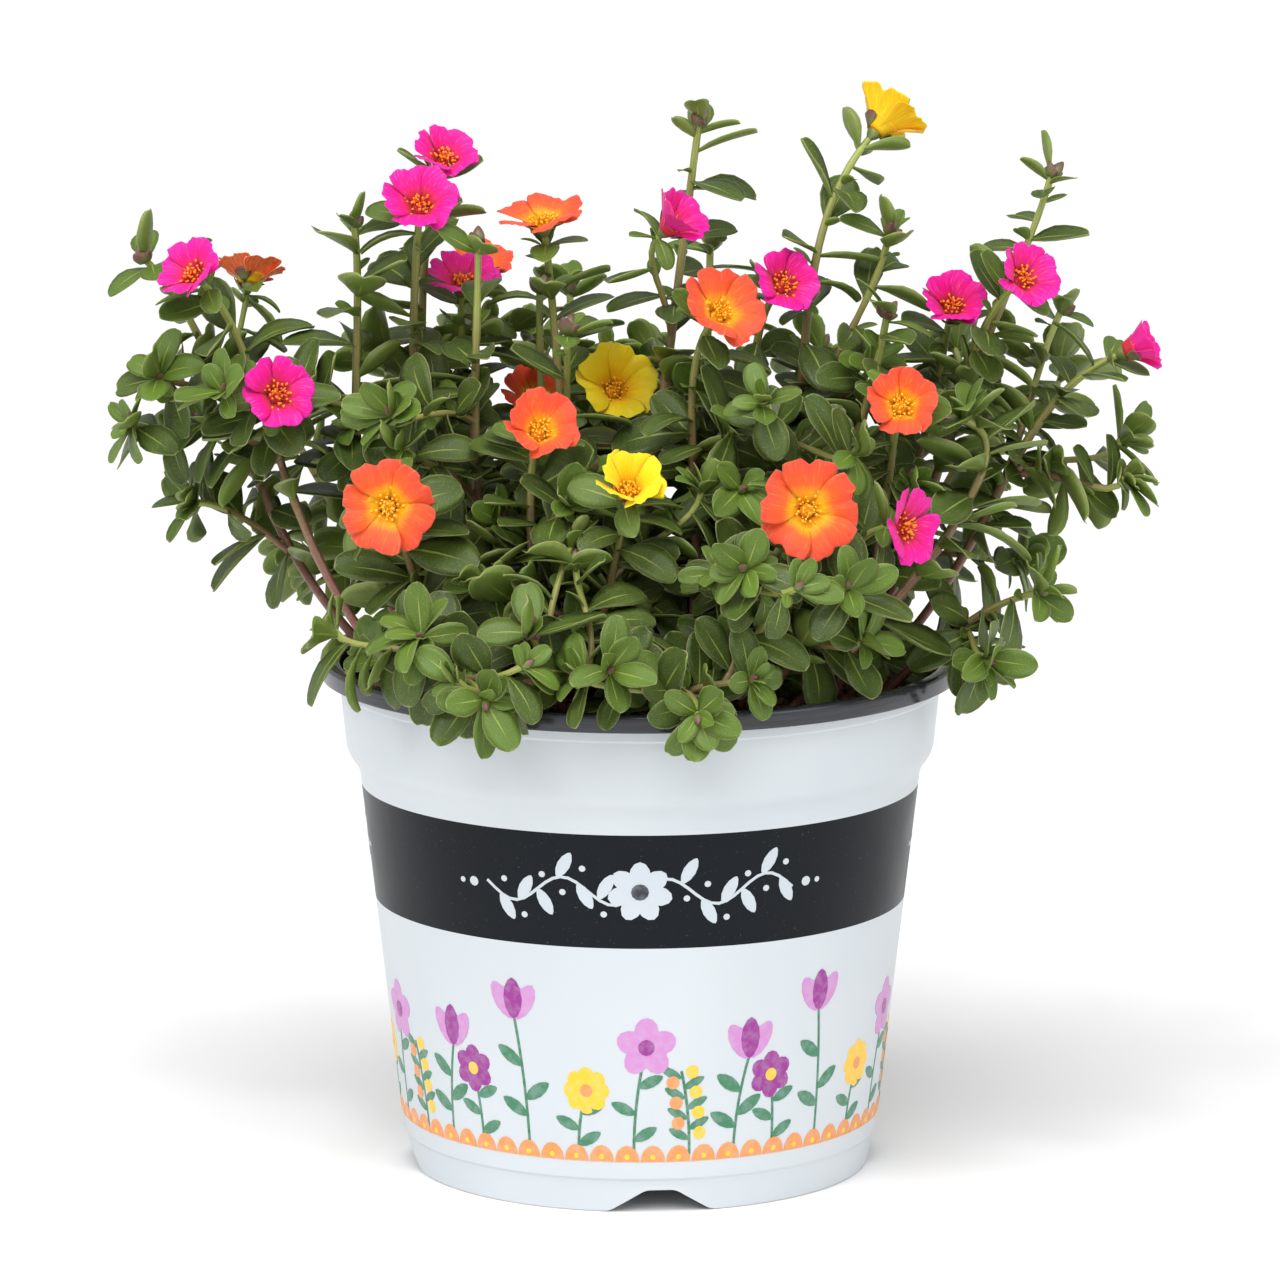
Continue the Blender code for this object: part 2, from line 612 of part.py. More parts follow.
def petal_half_width(bloom, s):
    """Half of a petal's width at s. In a cupped bloom a petal goes only part of the way round."""
    spread = math.sin(math.pi / 2 * min(1.0, s / 0.78)) ** 1.15
    full = bloom.petal * PETAL_WIDTH * (PETAL_CLAW + (1 - PETAL_CLAW) * spread)
    return min(full, petal_middle(bloom, s)[0] * math.tan(math.radians(WIDEST_TURN)))


def petal_point(bloom, azimuth, s, across, height=0.0):
    """A point of a petal: s runs from its root to its edge, across from side to side. Each petal's one
    side lies over its neighbour. Across, a petal is flat where it lies open, and follows the round of
    the bloom where it stands up."""
    notch = LOBE_NOTCH * math.exp(-((across / LOBE_NOTCH_WIDTH) ** 2))
    s = s * (1 - notch - LOBE_ROUNDING * abs(across) ** 3)
    out, up, angle = petal_middle(bloom, s)
    level = height + PETAL_OVERLAP * bloom.petal * across * min(1.0, 1.6 * s)
    out -= level * math.cos(angle)
    up += level * math.sin(angle)
    aside = math.atan2(petal_half_width(bloom, s) * across, out)
    reach = out / math.cos(aside) ** math.sin(angle)
    a = math.radians(azimuth) + aside
    return Vector((reach * math.cos(a), reach * math.sin(a), up))


def claw_share(bloom):
    """How much of a petal's width its narrow foot takes, to stay within its fifth of the bloom."""
    room = math.tan(math.radians(360 / PETALS / 2 * CLAW_ROOM)) * petal_middle(bloom, CLAW_AT)[0]
    return min(1.0, room / petal_half_width(bloom, CLAW_AT))


def bloom_matrix(shoot):
    """Where a bloom stands: just clear of its stem's end, with its axis along the stem's."""
    axis = direction(*shoot.aim)
    across = axis.cross(UP).normalized()
    turned = Matrix((across, axis.cross(across), axis)).transposed().to_4x4()
    return Matrix.Translation(Vector(shoot.tip) + axis * BLOOM_GAP) @ turned


PETAL_EDGE = ((0.55, -1), (0.9, -0.97), (1.0, -0.5), (1.0, 0), (1.0, 0.5), (0.9, 0.97), (0.55, 1))


def bloom_mesh(bloom):
    """The bloom's faceted solid: ovary, five notched petals round it and the boss of stamens."""
    sector = 360 / PETALS
    corners = [math.radians(bloom.turn + sector * (k - 0.5)) for k in range(PETALS)]

    def ring(radius, height):
        return [Vector((radius * math.cos(a), radius * math.sin(a), height)) for a in corners]

    half = PETAL_THICKNESS / 2
    rings = [ring(OVARY_BOTTOM_RADIUS, 0), ring(OVARY_TOP_RADIUS, OVARY_HEIGHT - half)]
    rings += [ring(OVARY_TOP_RADIUS, OVARY_HEIGHT + half), ring(STAMEN_RADIUS, OVARY_HEIGHT + STAMEN_HEIGHT)]
    points = [p for row in rings for p in row]
    faces = [tuple(reversed(range(PETALS))), tuple(range(3 * PETALS, 4 * PETALS))]
    claw = claw_share(bloom)
    outline = ((CLAW_AT, -claw), *PETAL_EDGE, (CLAW_AT, claw))
    edge_count = len(outline)
    first_edge = len(points)
    for k in range(PETALS):
        azimuth = bloom.turn + sector * k
        points += [petal_point(bloom, azimuth, s, v) for s, v in outline]
        points += [petal_point(bloom, azimuth, 0.62, 0, half), petal_point(bloom, azimuth, 0.62, 0, -half)]
    for k in range(PETALS):
        n = (k + 1) % PETALS
        for low in (0, 2):
            a = low * PETALS
            faces.append((a + k, a + n, a + PETALS + n, a + PETALS + k))
        edge = [first_edge + k * (edge_count + 2) + i for i in range(edge_count)]
        top = edge[-1] + 1
        under = edge[-1] + 2
        upper = [2 * PETALS + k] + edge + [2 * PETALS + n]
        lower = [PETALS + k] + edge + [PETALS + n]
        faces += [(upper[i], upper[i + 1], top) for i in range(len(upper) - 1)]
        faces += [(upper[-1], upper[0], top)]
        faces += [(lower[i + 1], lower[i], under) for i in range(len(lower) - 1)]
        faces += [(lower[0], lower[-1], under)]
        faces += [(PETALS + k, edge[0], 2 * PETALS + k), (PETALS + n, 2 * PETALS + n, edge[-1])]
    return points, triangles(faces)


# Making solids
def material(name):
    made = bpy.data.materials.get(name)
    if made is None:
        made = bpy.data.materials.new(name)
        made.use_nodes = True
        shader = made.node_tree.nodes["Principled BSDF"]
        shader.inputs["Base Color"].default_value = (*COLOURS[name], 1)
        shader.inputs["Roughness"].default_value = ROUGHNESS.get(name, 0.5)
        shader.inputs["Metallic"].default_value = 0
        made.diffuse_color = (*COLOURS[name], 1)
    return made


def solid(name, points, faces, finish, collection=None):
    """An object from points in millimetres, with its faces turned to point outwards."""
    mesh = bpy.data.meshes.new(name)
    mesh.from_pydata([p * MILLIMETRE for p in points], [], faces)
    mesh.materials.append(material(finish))
    shell = bmesh.new()
    shell.from_mesh(mesh)
    bmesh.ops.recalc_face_normals(shell, faces=shell.faces)
    shell.to_mesh(mesh)
    shell.free()
    made = bpy.data.objects.new(name, mesh)
    (collection or bpy.context.scene.collection).objects.link(made)
    return made


def turned(name, profile, finish):
    """A closed profile of radius and height pairs, spun round the Z axis."""
    shell = bmesh.new()
    corners = [shell.verts.new((r * MILLIMETRE, 0, z * MILLIMETRE)) for r, z in profile]
    edges = [shell.edges.new(pair) for pair in zip(corners, corners[1:])]
    bmesh.ops.spin(
        shell, geom=corners + edges, axis=UP, cent=(0, 0, 0), angle=2 * math.pi, steps=POT_SIDES,
        use_duplicate=False,
    )
    bmesh.ops.remove_doubles(shell, verts=shell.verts, dist=0.01 * MILLIMETRE)
    bmesh.ops.dissolve_limit(shell, angle_limit=0.001, verts=shell.verts, edges=shell.edges)
    bmesh.ops.recalc_face_normals(shell, faces=shell.faces)
    mesh = bpy.data.meshes.new(name)
    shell.to_mesh(mesh)
    shell.free()
    mesh.materials.append(material(finish))
    mesh.shade_smooth()
    mesh.set_sharp_from_angle(angle=math.radians(25))
    made = bpy.data.objects.new(name, mesh)
    bpy.context.scene.collection.objects.link(made)
    return made


def helper_collection(name):
    made = bpy.data.collections.new(name)
    bpy.context.scene.collection.children.link(made)
    return made


def apply_boolean(body, helpers, operation, solver="EXACT"):
    """Joins the helpers to the body, or cuts them from it, and removes them."""
    step = body.modifiers.new(operation.lower(), "BOOLEAN")
    step.operand_type = "COLLECTION"
    step.collection = helpers
    step.operation = operation
    step.solver = solver
    bpy.context.view_layer.update()
    graph = bpy.context.evaluated_depsgraph_get()
    mesh = bpy.data.meshes.new_from_object(body.evaluated_get(graph))
    body.modifiers.remove(step)
    body.data = mesh
    for helper in list(helpers.objects):
        bpy.data.objects.remove(helper)
    bpy.data.collections.remove(helpers)


def prism(name, outline, near, far, place, collection):
    """A straight prism: the outline's x and z stand across the way from near to far along y."""
    points = [place @ Vector((x, near, z)) for x, z in outline]
    points += [place @ Vector((x, far, z)) for x, z in outline]
    count = len(outline)
    faces = [tuple(range(count)), tuple(reversed(range(count, 2 * count)))]
    faces += [(k, count + k, count + (k + 1) % count, (k + 1) % count) for k in range(count)]
    return solid(name, points, faces, "pot", collection)


def post(name, x, y, low, high, radius, sides, collection):
    """An upright prism with its flats, not its corners, at the radius."""
    corner = radius / math.cos(math.pi / sides)
    turns = turns_of(sides, math.pi / sides)
    points = [Vector((x + corner * math.cos(a), y + corner * math.sin(a), low)) for a in turns]
    points += [Vector((p.x, p.y, high)) for p in points]
    faces = [tuple(reversed(range(sides))), tuple(range(sides, 2 * sides))]
    faces += [(k, (k + 1) % sides, sides + (k + 1) % sides, sides + k) for k in range(sides)]
    return solid(name, points, faces, "pot", collection)


def make_pot():
    inner_body_radius = BODY_TOP_RADIUS - POT_WALL
    profile = (
        (0, FLOOR_UNDERSIDE + POT_WALL),
        (BODY_BOTTOM_RADIUS - POT_WALL - 0.6, FLOOR_UNDERSIDE + POT_WALL),
        (inner_body_radius, BODY_TOP + 0.3),
        (COLLAR_FOOT_RADIUS - POT_WALL, COLLAR_BOTTOM + 0.4),
        (MOUTH_RADIUS, POT_HEIGHT),
        (LIP_RADIUS, POT_HEIGHT),
        (LIP_RADIUS, POT_HEIGHT - LIP_DEPTH),
        (LIP_RADIUS - LIP_WALL, POT_HEIGHT - LIP_DEPTH),
        (LIP_RADIUS - LIP_WALL, POT_HEIGHT - LIP_WALL),
        (MOUTH_RADIUS + POT_WALL, POT_HEIGHT - LIP_WALL),
        (COLLAR_FOOT_RADIUS, COLLAR_BOTTOM),
        (BODY_TOP_RADIUS, BODY_TOP),
        (BODY_BOTTOM_RADIUS, BODY_BOTTOM),
        (BODY_BOTTOM_RADIUS - 0.8, BODY_BOTTOM - 0.7),
        (FOOT_RADIUS, 0),
        (FOOT_RADIUS - FOOT_WALL, 0),
        (FOOT_RADIUS - FOOT_WALL + 1.2, FLOOR_UNDERSIDE),
        (0, FLOOR_UNDERSIDE),
    )
    pot = turned("pot", profile, "pot")
    cuts = helper_collection("pot_cuts")
    outline = (
        (-NOTCH_BOTTOM_WIDTH / 2 - 1, -0.3),
        (NOTCH_BOTTOM_WIDTH / 2 + 1, -0.3),
        (NOTCH_TOP_WIDTH / 2, NOTCH_HEIGHT),
        (-NOTCH_TOP_WIDTH / 2, NOTCH_HEIGHT),
    )
    for k in range(NOTCH_COUNT):
        turn = math.radians(NOTCH_FIRST_AZIMUTH + 360 / NOTCH_COUNT * k)
        place = Matrix.Rotation(turn, 4, "Z")
        prism(f"notch_{k}", outline, -FOOT_RADIUS - 8, -FOOT_RADIUS + 12, place, cuts)
        hole = place @ Vector((0, -DRAIN_RING_RADIUS, 0))
        post(f"drain_{k}", hole.x, hole.y, 0, 20, DRAIN_RADIUS, 8, cuts)
    apply_boolean(pot, cuts, "DIFFERENCE")


def make_soil():
    floor = FLOOR_UNDERSIDE + POT_WALL + SOIL_GAP
    mouth_share = (SOIL_TOP - COLLAR_BOTTOM) / (POT_HEIGHT - COLLAR_BOTTOM)
    collar = COLLAR_FOOT_RADIUS - POT_WALL
    top_radius = collar + (MOUTH_RADIUS - collar) * mouth_share - SOIL_GAP - 0.3
    profile = (
        (0, floor),
        (BODY_BOTTOM_RADIUS - POT_WALL - 0.6 - SOIL_GAP, floor),
        (BODY_TOP_RADIUS - POT_WALL - SOIL_GAP, BODY_TOP + 0.6),
        (collar - SOIL_GAP, COLLAR_BOTTOM + 0.6),
        (top_radius, SOIL_TOP - SOIL_EDGE_DROP),
        (top_radius * 0.94, SOIL_TOP),
        (0, SOIL_TOP),
    )
    soil = turned("soil", profile, "soil")
    holes = helper_collection("soil_holes")
    for shoot in SHOOTS:
        if not shoot.parent:
            x, y = shoot.root
            radius = STEM_ROOT_RADIUS + HOLE_CLEARANCE
            name = "hole_" + shoot.name
            post(name, x, y, SOIL_TOP - HOLE_DEPTH, SOIL_TOP + 5, radius, HOLE_SIDES, holes)
    apply_boolean(soil, holes, "DIFFERENCE")


def make_leafy_stems(courses, leaves, buds):
    for stem in SHOOTS:
        if stem.parent:
            continue
        body = solid("stem_" + stem.name, *tube_mesh(stem_rings(stem, courses[stem.name])), "stem")
        grown = helper_collection("grown_" + stem.name)
        for shoot in SHOOTS:
            if plant_of(shoot) != stem.name:
                continue
            if shoot.parent:
                rings = stem_rings(shoot, courses[shoot.name])
                solid(shoot.name, *tube_mesh(rings), "stem", grown)
            for leaf in leaves[shoot.name]:
                rows = LARGE_ROWS if leaf.length > LARGE_LEAF else SMALL_ROWS
                points, faces = blade(FORMS[leaf.form], rows)
                solid("leaf", transformed(leaf.matrix, points), faces, "stem", grown)
            for place in buds[shoot.name]:
                points, faces = bud()
                solid("bud", transformed(place, points), faces, "stem", grown)
        apply_boolean(body, grown, "UNION", "MANIFOLD")


def make_blooms():
    counts = {}
    for bloom in BLOOMS:
        counts[bloom.colour] = counts.get(bloom.colour, 0) + 1
        shoot = shoot_named(bloom.shoot)
        points, faces = bloom_mesh(bloom)
        name = f"bloom_{bloom.colour}_{counts[bloom.colour]:02d}"
        solid(name, transformed(bloom_matrix(shoot), points), faces, bloom.colour)


def main():
    for old in list(bpy.data.objects):
        bpy.data.objects.remove(old)
    courses = stem_courses()
    leaves, buds = grow_leaves(courses)
    make_pot()
    make_soil()
    make_leafy_stems(courses, leaves, buds)
    make_blooms()


main()
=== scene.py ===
# %% [markdown]
# # A flowering purslane in its nursery pot
#
# This lesson dresses a plain, faceted model of a potted purslane. The plain model is the frame: it
# fixes where the pot, every stem and every bloom stand, and nothing here moves it. Each piece made
# below stands in the place of one part of the frame, and shows it as the real thing looks.
#
# A growing thing follows rules, so most of it is grown by rule. The frame was grown by the rules in
# the first cells, and the finer leaves, stems and petals grow by the same ones, so they fit it.
# All sizes are in millimetres, and a mesh is scaled to Blender's metres as it is made.

import json
import math
import random
from collections import namedtuple

import bmesh
import bpy
import numpy as np
from mathutils import Matrix, Vector, noise
from mathutils.bvhtree import BVHTree

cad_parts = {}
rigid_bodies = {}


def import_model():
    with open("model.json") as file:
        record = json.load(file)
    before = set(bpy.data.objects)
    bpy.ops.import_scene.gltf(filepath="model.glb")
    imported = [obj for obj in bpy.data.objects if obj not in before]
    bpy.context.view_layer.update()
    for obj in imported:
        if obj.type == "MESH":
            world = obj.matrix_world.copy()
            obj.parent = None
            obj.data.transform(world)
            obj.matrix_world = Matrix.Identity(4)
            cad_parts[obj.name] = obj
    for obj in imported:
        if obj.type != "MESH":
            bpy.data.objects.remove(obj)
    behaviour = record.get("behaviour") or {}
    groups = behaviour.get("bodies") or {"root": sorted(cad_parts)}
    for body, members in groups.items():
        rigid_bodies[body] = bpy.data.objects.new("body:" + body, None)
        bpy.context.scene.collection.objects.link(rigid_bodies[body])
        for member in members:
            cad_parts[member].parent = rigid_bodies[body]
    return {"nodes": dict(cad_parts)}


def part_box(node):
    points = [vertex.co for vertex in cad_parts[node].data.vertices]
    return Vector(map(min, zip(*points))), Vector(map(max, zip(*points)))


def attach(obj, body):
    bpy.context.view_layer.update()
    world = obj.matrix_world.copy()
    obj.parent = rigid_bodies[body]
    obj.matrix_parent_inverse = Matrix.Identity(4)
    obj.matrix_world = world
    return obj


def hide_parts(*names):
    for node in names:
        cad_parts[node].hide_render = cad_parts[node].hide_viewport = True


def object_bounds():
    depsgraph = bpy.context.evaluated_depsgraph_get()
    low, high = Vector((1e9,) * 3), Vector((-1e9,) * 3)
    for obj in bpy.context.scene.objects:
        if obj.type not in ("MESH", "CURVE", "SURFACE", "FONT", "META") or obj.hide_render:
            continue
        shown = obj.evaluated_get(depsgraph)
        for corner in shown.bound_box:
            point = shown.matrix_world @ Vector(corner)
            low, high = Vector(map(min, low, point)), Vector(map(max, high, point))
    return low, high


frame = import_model()
cad_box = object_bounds()
MILLIMETRE = 0.001
UP = Vector((0, 0, 1))
print("Frame:", len(frame["nodes"]), "nodes, box", cad_box)

# %% [markdown]
# ## The camera first
#
# The photograph was taken from a little above the rim and from far away, so a long lens is the right
# one: it shows the pot's rim as a narrow ring and keeps the pot's sides nearly straight. The camera
# looks at a point on the pot's axis, so its place follows from an elevation and a distance.

# %% The camera
CAMERA_TARGET = Vector((0, 0, 163.3))
CAMERA_ELEVATION = 10.7
CAMERA_DISTANCE = 2650.0
SENSOR_WIDTH = 36.0
SEEN_WIDTH = 394.0
FARTHEST_SEEN = 20


def stand(name, data):
    """Puts a new object in the scene."""
    made = bpy.data.objects.new(name, data)
    bpy.context.scene.collection.objects.link(made)
    return made


def make_camera():
    camera = bpy.data.cameras.new("camera")
    camera.sensor_width = SENSOR_WIDTH
    camera.lens = SENSOR_WIDTH * CAMERA_DISTANCE / SEEN_WIDTH
    camera.clip_end = FARTHEST_SEEN
    made = stand("camera", camera)
    rise = math.radians(CAMERA_ELEVATION)
    away = Vector((0, -math.cos(rise), math.sin(rise)))
    made.location = (CAMERA_TARGET + away * CAMERA_DISTANCE) * MILLIMETRE
    made.rotation_euler = away.to_track_quat("Z", "Y").to_euler()
    bpy.context.scene.camera = made
    return made


print("Lens:", round(make_camera().data.lens), "mm")

# %% [markdown]
# ## The growth plan
#
# A purslane sends up many fleshy stems from the soil. Each row of the first table is one shoot: where
# it stands in the soil or forks from another, where its tip is and which way the tip aims. The second
# table says which shoots carry a bloom, its colour and how far it is open. Both are the frame's own
# plan, so the pieces grown from them land on the frame's stems and blooms.

# %% Sizes shared with the frame
# The pot and its mix.
POT_HEIGHT = 159.0
LIP_RADIUS = 98.5
LIP_DEPTH = 5.5
LIP_WALL = 1.3
MOUTH_RADIUS = 92.4
COLLAR_BOTTOM = 130.2
COLLAR_FOOT_RADIUS = 90.4
BODY_TOP = 125.2
BODY_TOP_RADIUS = 86.6
BODY_BOTTOM = 11.0
BODY_BOTTOM_RADIUS = 73.3
FOOT_RADIUS = 70.7
FOOT_WALL = 1.9
FLOOR_UNDERSIDE = 7.8
POT_WALL = 1.4
NOTCH_COUNT = 4
NOTCH_FIRST_AZIMUTH = 5.0
NOTCH_HEIGHT = 7.2
NOTCH_BOTTOM_WIDTH = 31.0
NOTCH_TOP_WIDTH = 9.0
DRAIN_RADIUS = 5.0
DRAIN_RING_RADIUS = 58.0
SOIL_TOP = 148.0
SOIL_GAP = 0.4
SOIL_EDGE_DROP = 1.2
# Stems.
HOLE_DEPTH = 11.0
STEM_ROOT_RADIUS = 1.9
STEM_TIP_RADIUS = 1.2
FORK_SHARE = 0.82
STRAIGHT_RISE = 3.5
STEM_SIDES = 4
STEM_RING_STEP = 30.0
STEM_GAP = 0.9
ROOT_PULL = 0.42
TIP_PULL = 0.30
LIP_GAP = 1.2
BARE_SHARE = 0.36
LEAF_STEP = 18.0
WHORL_AT = 0.975
# Leaves and buds.
PETIOLE_WIDTH = 0.05
LEAF_THICKNESS = 0.062
WIDEST_SKEW = 1.3
TIP_BLUNTNESS = 0.72
LEAF_GAP = 0.35
FULL_ROWS = (0.2, 0.42, 0.62, 0.8, 0.92, 0.985)
LIGHT_TURNS_AT = 250.0
LIGHT_TURNS_OVER = 70.0
WHORLS = {"rosette": 4, "bloom": 3, "buds": 2}
TRIES = 20
BUD_LENGTH = 6.2
BUD_RADIUS = 1.9
BUD_COUNT = 2
# Blooms.
PETALS = 5
BLOOM_GAP = 0.3
OVARY_BOTTOM_RADIUS = 1.2
OVARY_TOP_RADIUS = 2.3
OVARY_HEIGHT = 2.6
PETAL_THICKNESS = 0.9
PETAL_WIDTH = 0.60
PETAL_CLAW = 0.12
CLAW_AT = 0.3
CLAW_ROOM = 0.88
WIDEST_TURN = 46.0
PETAL_OVERLAP = 0.1
LOBE_NOTCH = 0.09
LOBE_NOTCH_WIDTH = 0.2
LOBE_ROUNDING = 0.15
STAMEN_RADIUS = 2.7
STAMEN_HEIGHT = 4.2
Form = namedtuple("Form", "width arch gutter twist")
FORMS = (
    Form(width=0.30, arch=0.35, gutter=0.25, twist=0.00),
    Form(width=0.28, arch=0.75, gutter=0.18, twist=0.20),
    Form(width=0.26, arch=0.15, gutter=0.35, twist=-0.25),
    Form(width=0.32, arch=0.55, gutter=0.12, twist=-0.12),
    Form(width=0.25, arch=1.00, gutter=0.30, twist=0.10),
    Form(width=0.33, arch=-0.20, gutter=0.30, twist=0.05),
)

# %% The shoots and the blooms
Shoot = namedtuple("Shoot", "name parent fork root tip aim lean leaf end")
SHOOTS = tuple(Shoot(*row) for row in (
    ("left_far", None, 0, (-76, 6), (-152, 12, 280), (-70, 45), 52, 22, "buds"),
    ("left_low", "left_far", 0.26, None, (-137, 2, 206), (-75, 5), 0, 23, "rosette"),
    ("left_flower", "left_far", 0.58, None, (-121, 22, 268), (165, 60), 0, 20, "bloom"),
    ("left_front", None, 0, (-68, -27), (-133, -12, 276), (-38, 38), 50, 22, "bloom"),
    ("left_front_side", "left_front", 0.5, None, (-111, -36, 244), (20, 25), 0, 21, "bloom"),
    ("left_upright", None, 0, (-61, -15), (-87, -5, 293), (-90, 84), 42, 21, "buds"),
    ("tall_left", None, 0, (-49, 0), (-67, -12, 297), (5, 42), 30, 21, "bloom"),
    ("tall_left_back", None, 0, (-46, 20), (-61, 14, 307), (20, 52), 25, 21, "bloom"),
    ("left_back_flower", "tall_left_back", 0.45, None, (-51, 50, 268), (30, 66), 0, 20, "bloom"),
    ("left_inner", None, 0, (-30, 34), (-55, 22, 267), (5, 62), 28, 21, "bloom"),
    ("left_inner_front", None, 0, (-40, -22), (-49, -22, 290), (0, 84), 15, 20, "buds"),
    ("brown_upright", None, 0, (-17, 4), (-29, -2, 289), (-25, 74), 8, 20, "bloom"),
    ("centre_bud", "brown_upright", 0.3, None, (-22, -30, 264), (0, 82), 0, 19, "buds"),
    ("centre_back", None, 0, (-19, 24), (-31, 28, 268), (180, 80), 14, 20, "buds"),
    ("centre_back_flower", "centre_back", 0.35, None, (-34, 46, 228), (20, 45), 0, 20, "bloom"),
    ("centre_low_flower", None, 0, (-33, -43), (-31, -56, 235), (12, 38), 25, 23, "bloom"),
    ("yellow_inner", None, 0, (2, 30), (-9, 22, 236), (14, 32), 20, 22, "bloom"),
    ("tallest", None, 0, (-6, -9), (18, 0, 324), (20, 70), 10, 20, "buds"),
    ("tallest_side", "tallest", 0.56, None, (6, -9, 290), (62, 42), 0, 17, "bloom"),
    ("centre_right", None, 0, (13, -19), (22, -31, 267), (30, 36), 22, 24, "bloom"),
    ("centre_right_back", None, 0, (22, 9), (42, -2, 272), (25, 32), 20, 21, "bloom"),
    ("yellow_tall", None, 0, (34, 24), (70, 12, 317), (125, 42), 22, 21, "bloom"),
    ("right_bud", "yellow_tall", 0.34, None, (76, -2, 290), (30, 72), 0, 21, "buds"),
    ("right_inner", None, 0, (30, -26), (75, -20, 268), (20, 68), 30, 21, "buds"),
    ("right_rosette", "right_inner", 0.36, None, (37, -56, 246), (5, 25), 0, 17, "rosette"),
    ("right_flower", None, 0, (50, 20), (95, 5, 263), (8, 46), 45, 21, "bloom"),
    ("right_high", None, 0, (58, -8), (114, -11, 275), (35, 32), 42, 21, "bloom"),
    ("right_high_bud", "right_high", 0.5, None, (126, 12, 306), (90, 74), 0, 17, "buds"),
    ("right_far", None, 0, (71, 6), (146, 5, 251), (84, 24), 48, 19, "bloom"),
    ("right_far_bud", "right_far", 0.5, None, (130, 26, 262), (100, 65), 0, 15, "buds"),
    ("right_mid", None, 0, (58, -33), (78, -46, 242), (6, 30), 30, 23, "bloom"),
    ("front_right_big", None, 0, (8, -55), (49, -84, 218), (9, 14), 48, 23, "bloom"),
    ("front_right_rosette", "front_right_big", 0.4, None, (23, -92, 201), (0, 25), 0, 15, "rosette"),
    ("front_right", None, 0, (32, -56), (75, -71, 211), (52, 6), 50, 21, "bloom"),
    ("front_yellow", None, 0, (-20, -56), (-4, -72, 219), (10, 46), 26, 23, "bloom"),
    ("front_left_big", None, 0, (-52, -40), (-75, -69, 217), (-2, 6), 40, 22, "bloom"),
    ("arching", None, 0, (42, -66), (96, -37, 238), (-70, 10), 55, 24, "rosette"),
    ("front_hanging", None, 0, (7, -70), (17, -108, 161), (4, 0), 50, 19, "rosette"),
    ("front_hanging_side", "front_hanging", 0.42, None, (33, -99, 170), (18, 20), 0, 16, "rosette"),
    ("left_rosette", None, 0, (-55, -57), (-65, -94, 182), (-8, 22), 45, 21, "rosette"),
    ("left_hanging", "left_rosette", 0.4, None, (-46, -106, 165), (12, -28), 0, 22, "rosette"),
    ("right_low", None, 0, (74, -27), (121, -32, 184), (75, 20), 58, 21, "rosette"),
    ("right_hanging", "right_low", 0.45, None, (104, -50, 167), (50, -12), 0, 21, "rosette"),
    ("front_centre", None, 0, (-22, -74), (-32, -99, 184), (-5, 30), 35, 26, "buds"),
    ("front_centre_side", "front_centre", 0.35, None, (-9, -105, 174), (8, 15), 0, 22, "rosette"),
    ("back_left", None, 0, (-44, 56), (-72, 92, 232), (200, 45), 35, 22, "buds"),
    ("back_left_low", "back_left", 0.3, None, (-60, 105, 178), (205, 5), 0, 22, "rosette"),
    ("back_middle", None, 0, (-6, 58), (-10, 100, 238), (180, 45), 30, 22, "buds"),
    ("back_middle_high", "back_middle", 0.3, None, (-22, 66, 262), (185, 75), 0, 20, "buds"),
    ("back_right", None, 0, (34, 54), (58, 96, 240), (160, 45), 32, 22, "buds"),
    ("back_right_low", "back_right", 0.3, None, (28, 109, 180), (172, 0), 0, 22, "rosette"),
    ("side_left_back", None, 0, (-66, 36), (-116, 62, 226), (235, 40), 45, 22, "rosette"),
    ("side_left_back_low", "side_left_back", 0.35, None, (-104, 74, 178), (235, 0), 0, 22, "rosette"),
    ("side_right_back", None, 0, (64, 40), (110, 68, 222), (130, 40), 45, 22, "rosette"),
    ("side_right_low", "side_right_back", 0.35, None, (118, 44, 180), (110, 0), 0, 22, "rosette"),
    ("high_back", None, 0, (16, 42), (22, 60, 278), (170, 78), 15, 20, "buds"),
))

Bloom = namedtuple("Bloom", "shoot colour petal root_angle edge_angle turn")
BLOOMS = tuple(Bloom(*row) for row in (
    ("left_front", "magenta", 10.7, 25, 75, 10),
    ("tall_left_back", "magenta", 10.4, 25, 75, 40),
    ("tall_left", "magenta", 11.5, 30, 80, 0),
    ("left_front_side", "magenta", 10.7, 35, 85, 20),
    ("left_inner", "magenta", 11.5, 25, 80, 55),
    ("tallest_side", "magenta", 12.0, 20, 50, 30),
    ("centre_right_back", "magenta", 10.6, 30, 75, 65),
    ("right_flower", "magenta", 11.0, 25, 65, 5),
    ("right_high", "magenta", 10.8, 30, 75, 35),
    ("right_far", "magenta", 10.5, 15, 40, 50),
    ("front_right", "magenta", 11.0, 35, 80, 15),
    ("left_flower", "orange", 10.5, 30, 75, 25),
    ("brown_upright", "orange", 12.4, 40, 95, 60),
    ("left_back_flower", "orange", 10.5, 30, 75, 0),
    ("centre_right", "orange", 13.2, 30, 75, 45),
    ("right_mid", "orange", 10.8, 30, 75, 10),
    ("front_left_big", "orange", 12.8, 45, 95, 0),
    ("centre_low_flower", "orange", 12.3, 25, 65, 30),
    ("front_right_big", "orange", 14.0, 45, 90, 50),
    ("centre_back_flower", "orange", 11.0, 30, 75, 20),
    ("yellow_tall", "yellow", 14.0, 20, 60, 5),
    ("front_yellow", "yellow", 13.0, 18, 50, 40),
    ("yellow_inner", "yellow", 13.5, 30, 75, 15),
))
print("Planned:", len(SHOOTS), "shoots,", len(BLOOMS), "blooms")

